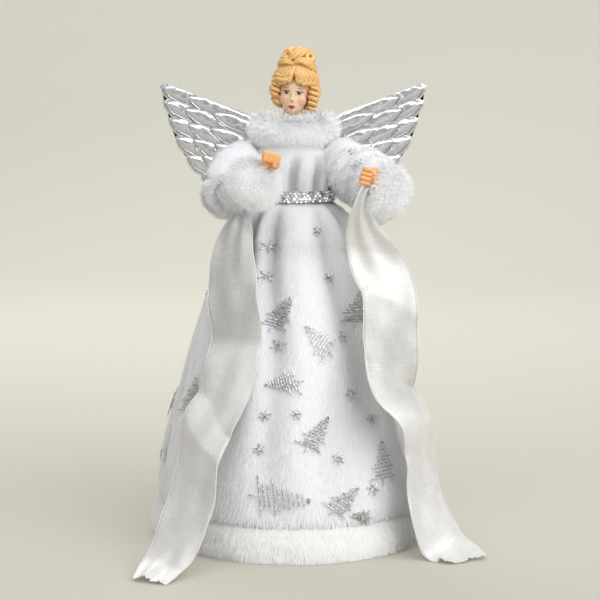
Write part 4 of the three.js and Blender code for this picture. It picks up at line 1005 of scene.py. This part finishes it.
for side, (middle, aim, radius, sag) in CUFFS.items():
    aim = Vector(aim).normalized()
    middle = Vector(middle)
    hub = (middle + Vector(sag)) * MM
    lobes = [ball((0, 0, 0), radius, radius, 8.6), ball((0, 0, -4), radius - 2, radius - 2, 7),
             ball((0, 0, 4), radius - 2.5, radius - 2.5, 6)]
    cuff_seat = Matrix.Translation(hub) @ aim.to_track_quat("Z", "Y").to_matrix().to_4x4()
    cuff = moulded(side + "_fur_cuff", lobes, cuff_seat, fur_fibre, grain=1.2 * MM)
    for vertex in cuff.data.vertices:
        vertex.co += (vertex.co - hub).normalized() * noise.noise(vertex.co / (9 * MM)) * CUFF_LUMP
    pile = grow_pile(cuff, "_pile", strands=30000, length=FUR_LENGTH, width=0.5 * MM, rows=2,
                     comb=(0, 0, -0.7), mess=0.8, seed=61)
    along = Vector(FINGERS_AIM[side]).normalized()
    row = Vector(FINGERS_ROW[side])
    row = (row - along * along.dot(row)).normalized()
    fist_turn = Matrix((row, along.cross(row), along)).transposed()
    wrist = [fist_turn.inverted() @ (aim * -reach) for reach in WRIST_REACH]
    hand_seat = Matrix.Translation((middle + aim * HAND_REACH) * MM) @ fist_turn.to_4x4()
    lumps = FIST + [(*wrist, WRIST_RADII)]
    hand = moulded(side + "_doll_hand", lumps, hand_seat, hand_vinyl, grain=0.3 * MM, eased=1)
    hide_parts(side + "_cuff")
    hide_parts(side + "_hand")
    belong(side + "_arm", "fur", cuff, pile)
    belong(side + "_arm", "skin", hand)

# The wings: silver foil welded round soft wadding, with the feathers stamped into it in three tiers.
# Each feather is a swelling inside a narrow bead, a flat welded rim runs round the wing and the foil is crinkled; the
# foil is painted dark along each feather's edge as painted shade.
# All lengths of the wings are in mm, and a spot of the wing is its way out from the root and up.
WING_ROOT = Vector((13.1, 24.2, 250))
WING_ROOT_HALF = 14.9
WING_FOOT = (38, -29)
LEADING_EDGE_LIFT = 3
WING_BACK = 25.6
BACKING_DEPTH = 26.45
BACKING_THICKNESS = 0.6
# Tips of the feathers in each tier, from the leading edge down.
FEATHER_TIPS = [[(73, 39), (71.5, 29), (68, 17.5), (63.5, 5.5), (56.5, -6.5), (47, -18)],
                [(56.5, 32.5), (58.5, 24.5), (56.5, 14.5), (53, 4.5), (47, -6)],
                [(40, 22), (41.5, 12), (39, 2), (34, -7.5)]]
FEATHER_HALF = 5.6
FEATHER_SLOPE = (21.8, 31)
FEATHER_TAPER = (8, 11, 12)
FEATHER_SWELL = 1.9
TIER_LIFT = 1.15
BEAD_WIDTH = 1.5
BEAD_HEIGHT = 0.75
PUCKER = 0.5
CREASE_SHADE_WIDTH = 0.6
RIM = 1.6
WING_ROWS = 110
WING_COLUMNS = 170
wing_foil, tree, shader = surface("aluminised_film")
place = node(tree, "ShaderNodeTexCoord").outputs["Object"]
crinkle = node(tree, "ShaderNodeTexNoise", {"Vector": place, "Scale": 1 / (4 * MM), "Detail": 3, "Distortion": 0.8})
# Painted shade: the foil is painted dark grey along each feather's edge.
crease = node(tree, "ShaderNodeAttribute", attribute_name="crease").outputs["Fac"]
tone = node(tree, "ShaderNodeMix", {"Factor": crease, 6: linear("#DEE0E5"), 7: linear("#46464A")}, data_type="RGBA")
dents = node(tree, "ShaderNodeBump", {"Height": crinkle.outputs["Fac"], "Distance": 0.3 * MM, "Strength": 0.5})
fill(tree, shader, {"Base Color": tone.outputs[2], "Metallic": 1, "Roughness": 0.2,
                    "Normal": dents.outputs["Normal"]})


def inside_feather(tip, share, spot, taper):
    """How far inside a feather's edge a spot of the wing lies; outside is below zero."""
    slope = math.radians(between(FEATHER_SLOPE, share))
    along = Vector((math.cos(slope), math.sin(slope)))
    away = Vector(tip) - spot
    to_tip = away.dot(along)
    if to_tip < 0:
        return -away.length
    return FEATHER_HALF * min(to_tip / taper, 1) ** 0.5 - abs(away.x * along.y - away.y * along.x)


def deepest(tier, spot):
    """The same for the nearest feather of a tier."""
    tips = FEATHER_TIPS[tier]
    return max(inside_feather(tip, k / (len(tips) - 1), spot, FEATHER_TAPER[tier]) for k, tip in enumerate(tips))


def stamped(spot):
    """How far the foil stands out at a spot, and how dark its painted shade is there, near a feather's edge."""
    for tier in (2, 1, 0):
        inside = deepest(tier, spot)
        if inside > 0:
            across = held((FEATHER_HALF - inside) / (FEATHER_HALF - BEAD_WIDTH))
            bead = BEAD_HEIGHT * math.sin(math.pi * min(inside / BEAD_WIDTH, 1))
            pucker = noise.noise((spot.x / 5, spot.y / 4, tier)) * PUCKER
            swell = (FEATHER_SWELL + pucker) * math.sqrt(1 - across ** 2)
            return tier * TIER_LIFT + bead + swell, math.exp(-inside / CREASE_SHADE_WIDTH)
    return 0.0, 0.0


def wing_place(side, spot, depth):
    """A spot of the left (-1) or right (1) wing, at a depth, as a point."""
    return Vector((side * (WING_ROOT.x + spot.x), depth, WING_ROOT.z + spot.y)) * MM


outer_tips = [Vector(tip) for tip in FEATHER_TIPS[0] + [WING_FOOT]]
spans = len(outer_tips) - 1
columns = []
for share in [column / WING_COLUMNS for column in range(WING_COLUMNS + 1)]:
    root = Vector((0, between((WING_ROOT_HALF, -WING_ROOT_HALF), share)))
    k = min(int(share * spans), spans - 1)
    ray = outer_tips[k].lerp(outer_tips[k + 1], share * spans - k) - root
    ray.y += LEADING_EDGE_LIFT * (1 - share)
    # The rim lies where, coming inwards along the ray, the nearest feather is a rim's width away.
    reach = 1.2
    while reach > 0.5 and deepest(0, root + ray * reach) < -RIM:
        reach -= 0.004
    columns.append([root + ray * (reach * row / WING_ROWS) for row in range(WING_ROWS + 1)])
relief = [[stamped(spot) for spot in column] for column in columns]
rim = [column[-1] for column in columns] + [columns[-1][0], columns[0][0]]

for name, side in (("left", -1), ("right", 1)):
    wing_shape = bmesh.new()
    creases = wing_shape.verts.layers.float.new("crease")
    front, back = [], []
    for column, heights in zip(columns, relief):
        for spot, (height, edge) in zip(column, heights):
            front.append(wing_shape.verts.new(wing_place(side, spot, WING_ROOT.y - height)))
            # How near the point lies to a feather's edge, for the painted shade.
            front[-1][creases] = edge
            back.append(wing_shape.verts.new(wing_place(side, spot, WING_BACK)))
    stride = WING_ROWS + 1
    for layer in (front, back):
        for column in range(WING_COLUMNS):
            for row in range(WING_ROWS):
                corner = column * stride + row
                wing_shape.faces.new([layer[corner + step] for step in (0, 1, stride + 1, stride)])
    bmesh.ops.bridge_loops(wing_shape, edges=[edge for edge in wing_shape.edges if edge.is_boundary])
    backing_shape = bmesh.new()
    near, far = [[backing_shape.verts.new(wing_place(side, spot, depth)) for spot in rim]
                 for depth in (BACKING_DEPTH, BACKING_DEPTH + BACKING_THICKNESS)]
    backing_shape.faces.new(near)
    backing_shape.faces.new(far[::-1])
    for k in range(len(rim)):
        backing_shape.faces.new((near[k], near[k - 1], far[k - 1], far[k]))
    bmesh.ops.triangulate(backing_shape, faces=backing_shape.faces)
    for shape, label, smooth in ((wing_shape, "wing", True), (backing_shape, "wing_backing", False)):
        piece = piece_of(name + "_foil_" + label, shape, wing_foil, smooth, outward=True)
        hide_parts(name + "_" + label)
        belong(name + "_wing", "foil", piece)

# The scarf: one wired ribbon of silver organza, 38 mm wide, caught in both hands and passed behind the waist.
# The sheer weave is painted whiter where it lies on the plush and greyer where it hangs in shade: painted light and
# painted shade. A bright selvedge runs down both edges and the ends fray.
RIBBON_HALF = 19
RIBBON_WALL = 0.3 * MM
RIBBON_CELLS = 20
RIBBON_WAVE = 1.8
RIBBON_CURVE = 0.9
RIBBON_RUFFLE = 1.7
RIBBON_FLUTTER = 0.8
RIBBON_MOTTLE = 0.15
CREASE_SLIP = 25
SELVEDGE_THICKNESS = 0.9 * MM
CORD_THICKNESS = 0.4 * MM
FRAY = 1.6
LOWEST_CLOTH = 0.5
# The real threads are too fine to show, so the weave is drawn at this spacing in mm.
RIB_SPACING = 1.5
SLUB_LENGTH = 9
SLUB_WIDTH = 1.1
# Stops down each tail: place in mm, compass angle of the width and the width as gathered.
RIBBON_STOPS = {
    "left": [(-33, -38, 208.5, -30, 13), (-36, -42, 198, -32, 24), (-38, -48, 180, -33, 33),
             (-38, -55, 159.5, -34, 37), (-37, -61, 139.5, -35, 38), (-39, -69, 118.5, -36, 38),
             (-44, -75, 97.5, -40, 38), (-52, -79, 80, -43, 38), (-55.5, -84, 61, -43, 38), (-61, -91, 40, -41, 38),
             (-68, -100, 22, -38, 36), (-75, -108, 8, -31, 32), (-80, -118, 3, -20, 26), (-84, -127, 1.7, -12, 21)],
    "right": [(56, -48, 205, 24, 18), (52, -52, 217, 20, 13), (45.5, -57.5, 226.5, 15, 8), (41.5, -56, 214, 12, 12),
              (43, -53, 200, 10, 21), (49, -50, 184, 8, 31), (57, -50, 166, 22, 37), (58.5, -55, 146, 27, 38),
              (59.5, -61, 124, 32, 38), (62, -66, 103, 42, 38), (73, -66, 83, 60, 38), (78, -63, 63, 63, 38),
              (80.5, -65, 43, 56, 38), (84.5, -69, 24, 50, 38), (92.5, -70, 9, 34, 36), (101, -75, 3, 18, 32),
              (106, -85, 1.6, 13, 28)]}
# Creases: heights of the crease's end at the left edge and at the right edge, how far it stands out, and its reach
# up and down.
RIBBON_CREASES = {"left": [(137, 131, -4, 34, 30), (84, 62, 5, 18, 26)],
                  "right": [(166, 148, 5, 30, 50), (96, 74, 5, 26, 24)]}
# Painted light and shade: how white the weave is painted at heights down the tail.
RIBBON_PAINTED_LIGHT = {"left": [(210, 0.45), (150, 0.5), (136, 0.45), (128, 0.95), (85, 0.85), (60, 0.9), (30, 0.75),
                             (0, 0.85)],
                    "right": [(230, 0.85), (158, 0.7), (150, 0.4), (98, 0.45), (84, 0.9), (50, 0.75), (20, 0.75),
                              (0, 0.8)]}
RIBBON_SEED = {"left": 3.7, "right": 8.1}
# The stop below which a tail lies against the skirt.
TAIL_HANGS_FROM = {"left": 6, "right": 9}

organza, tree, shader = surface("metallic_organza")
flat_place = node(tree, "ShaderNodeTexCoord").outputs["UV"]
weave = node(tree, "ShaderNodeSeparateXYZ", {0: flat_place}).outputs
threads, slubs = [], []
for axis, scale in (("X", (1 / SLUB_WIDTH, 1 / SLUB_LENGTH, 1)), ("Y", (1 / SLUB_LENGTH, 1 / SLUB_WIDTH, 1))):
    turns = node(tree, "ShaderNodeMath", {0: weave[axis], 1: 2 * math.pi / RIB_SPACING}, operation="MULTIPLY")
    threads.append(node(tree, "ShaderNodeMath", {0: turns.outputs[0]}, operation="SINE").outputs[0])
    drawn = node(tree, "ShaderNodeMapping", {"Vector": flat_place, "Scale": scale}).outputs[0]
    slubs.append(node(tree, "ShaderNodeTexNoise", {"Vector": drawn, "Scale": 1, "Detail": 2}).outputs["Fac"])
grid, slub = [node(tree, "ShaderNodeMath", {0: warp, 1: weft}, operation="ADD").outputs[0]
              for warp, weft in (threads, slubs)]
uneven = node(tree, "ShaderNodeMath", {0: slub, 1: 2.4, 2: -2.4}, operation="MULTIPLY_ADD").outputs[0]
cloth_grain = node(tree, "ShaderNodeMath", {0: grid, 1: 0.2, 2: uneven}, operation="MULTIPLY_ADD").outputs[0]
# Painted light and shade: the weave's colour runs from grey to white by the cloth's painted value.
white = node(tree, "ShaderNodeAttribute", attribute_name="white").outputs["Fac"]
level = node(tree, "ShaderNodeMath", {0: cloth_grain, 1: 0.2, 2: white}, operation="MULTIPLY_ADD", use_clamp=True)
tone = node(tree, "ShaderNodeMix", {"Factor": level.outputs[0], 6: linear("#B8B7B3"), 7: linear("#ECECEB")},
            data_type="RGBA")
ridges = node(tree, "ShaderNodeBump", {"Height": cloth_grain, "Distance": 0.12 * MM, "Strength": 0.3})
fill(tree, shader, {"Base Color": tone.outputs[2], "Metallic": 0.2, "Roughness": 0.42,
                    "Normal": ridges.outputs["Normal"]})
selvedge, tree, shader = surface("ribbon_selvedge")
place = node(tree, "ShaderNodeTexCoord").outputs["Object"]
twist = node(tree, "ShaderNodeTexNoise", {"Vector": place, "Scale": 1 / (0.8 * MM), "Detail": 1}).outputs["Fac"]
tone = node(tree, "ShaderNodeMix", {"Factor": twist, 6: linear("#D2D2CF"), 7: linear("#FAFAF8")}, data_type="RGBA")
fill(tree, shader, {"Base Color": tone.outputs[2], "Roughness": 0.4})


def lay_flat(shape, weave, flat):
    """Stores where each point lies on the flat ribbon, in mm."""
    for face in shape.faces:
        for loop in face.loops:
            loop[weave].uv = flat[loop.vert]


def ribbon_strip(name, stops, creases, light_levels, seed):
    """Sweeps a ribbon through its stops: the strip, and the routes of its two edges and their inner lines."""
    route = smooth_route(stops, 12)
    middles = [stop.to_3d() for stop in route]
    last = len(route) - 1
    shape = bmesh.new()
    bmesh.ops.create_grid(shape, x_segments=RIBBON_CELLS, y_segments=last, size=1)
    weave = shape.loops.layers.uv.new("UVMap")
    white = shape.verts.layers.float.new("white")
    lines = {share: [None] * (last + 1) for share in (-1, -1 + 2 / RIBBON_CELLS, 1 - 2 / RIBBON_CELLS, 1)}
    fall = [0.0]
    for above, below in zip(middles, middles[1:]):
        fall.append(fall[-1] + (below - above).length)
    flat = {}
    for vertex in shape.verts:
        across = vertex.co.x
        k = round((vertex.co.y + 1) / 2 * last)
        middle = middles[k]
        down = (middles[min(k + 1, last)] - middles[max(k - 1, 0)]).normalized()
        turn = math.radians(route[k][3])
        wide = Vector((math.cos(turn), math.sin(turn), 0))
        wide = (wide - down * down.dot(wide)).normalized()
        out = down.cross(wide) if down.z < 0 else wide.cross(down)
        half = route[k][4] / 2
        # The cloth waves and curves all over, ruffles where it is gathered and flutters along its edges.
        bulge = RIBBON_WAVE * noise.noise((across * 1.3, fall[k] / 26, seed)) + RIBBON_CURVE * (1 - across * across)
        bulge += RIBBON_RUFFLE * (1 - half / RIBBON_HALF) * math.sin(across * 7 + seed)
        bulge += RIBBON_FLUTTER * abs(across) ** 4 * math.sin(fall[k] / 5.5 + seed)
        slip = 0.0
        for left_end, right_end, stand, up, under in creases:
            slant = across * (right_end - left_end) / 2
            away = middle.z - ((left_end + right_end) / 2 + slant)
            bulge += stand * max(1 - (away / up if away > 0 else -away / under), 0)
            slip += slant * max(1 - abs(away) / CREASE_SLIP, 0)
        fray = chance.uniform(-FRAY, FRAY) if k == last else 0.0
        place = middle + wide * across * half + out * bulge + down * fray
        place.z = max(place.z, LOWEST_CLOTH)
        vertex.co = place * MM
        # Painted light and shade: each point's whiteness is read at its height, slid along the creases' slant, with a
        # random mottle.
        mottle = RIBBON_MOTTLE * noise.noise((across * 2, fall[k] / 18, seed + 5))
        vertex[white] = along_list(light_levels, middle.z - slip) + mottle
        flat[vertex] = (across * RIBBON_HALF, fall[k])
        for share, line in lines.items():
            if abs(across - share) < 1e-4:
                line[k] = vertex.co.copy()
    lay_flat(shape, weave, flat)
    return piece_of(name, shape, organza), list(lines.values())


for side in ("left", "right"):
    stops = RIBBON_STOPS[side]
    tail, lines = ribbon_strip(side + "_ribbon_tail", stops, RIBBON_CREASES[side], RIBBON_PAINTED_LIGHT[side],
                               RIBBON_SEED[side])
    wires = laid_thread(side + "_ribbon_selvedge", lines[::3], SELVEDGE_THICKNESS, selvedge, 1)
    inner = laid_thread(side + "_ribbon_cord", lines[1:3], CORD_THICKNESS, selvedge)
    give_wall(tail, RIBBON_WALL, 0)
    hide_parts("ribbon_" + side + "_tail")
    top = Vector(max(stops, key=lambda stop: stop[2])[:3]) * MM
    foot = Vector(stops[TAIL_HANGS_FROM[side]][:3]) * MM
    for piece in (tail, wires, inner):
        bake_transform(piece)

# The scarf's middle: the same ribbon, drawn flat behind the waist from armpit to armpit and folded in half.
# Its lengths are in mm; the fold lies along its top edge and a few soft pleats run along it.
BACK_RADIUS = 28.6
BACK_SPAN = math.radians(77)
BACK_HEIGHT = (216.8, 232.4)
BACK_FOLD = 0.45
BACK_PLEAT = 0.7
back_shape = bmesh.new()
bmesh.ops.create_grid(back_shape, x_segments=60, y_segments=18, size=1)
back_weave = back_shape.loops.layers.uv.new("UVMap")
back_painted_light = back_shape.verts.layers.float.new("white")
laid = {}
for vertex in back_shape.verts:
    across, along = vertex.co.xy
    around = math.pi + across * BACK_SPAN
    up = 1 - abs(along)
    laid[vertex] = (across * BACK_SPAN * BACK_RADIUS, along * RIBBON_HALF)
    fold = BACK_FOLD * held(along * 6, -1, 1)
    pleat = BACK_PLEAT * math.sin(5.5 * math.pi * up + 1.5 * noise.noise((3 * across, up, 2.0)))
    radius = BACK_RADIUS - fold + pleat + 0.5 * noise.noise((6 * across, 2 * up, 9.0))
    height = between(BACK_HEIGHT, up) + 0.8 * noise.noise((3 * across, 0, up))
    vertex.co = round_body(radius, around, height) * MM
    # Painted light behind the waist: an even middle level with a random mottle.
    vertex[back_painted_light] = 0.5 + 0.3 * noise.noise((4 * vertex.co.x / MM, up * 3, 4.0))
lay_flat(back_shape, back_weave, laid)
ribbon_back = piece_of("ribbon_behind_waist", back_shape, organza, outward=True)
give_wall(ribbon_back, RIBBON_WALL, 0)
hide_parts("ribbon_back")
belong("dress", "ribbon", ribbon_back)
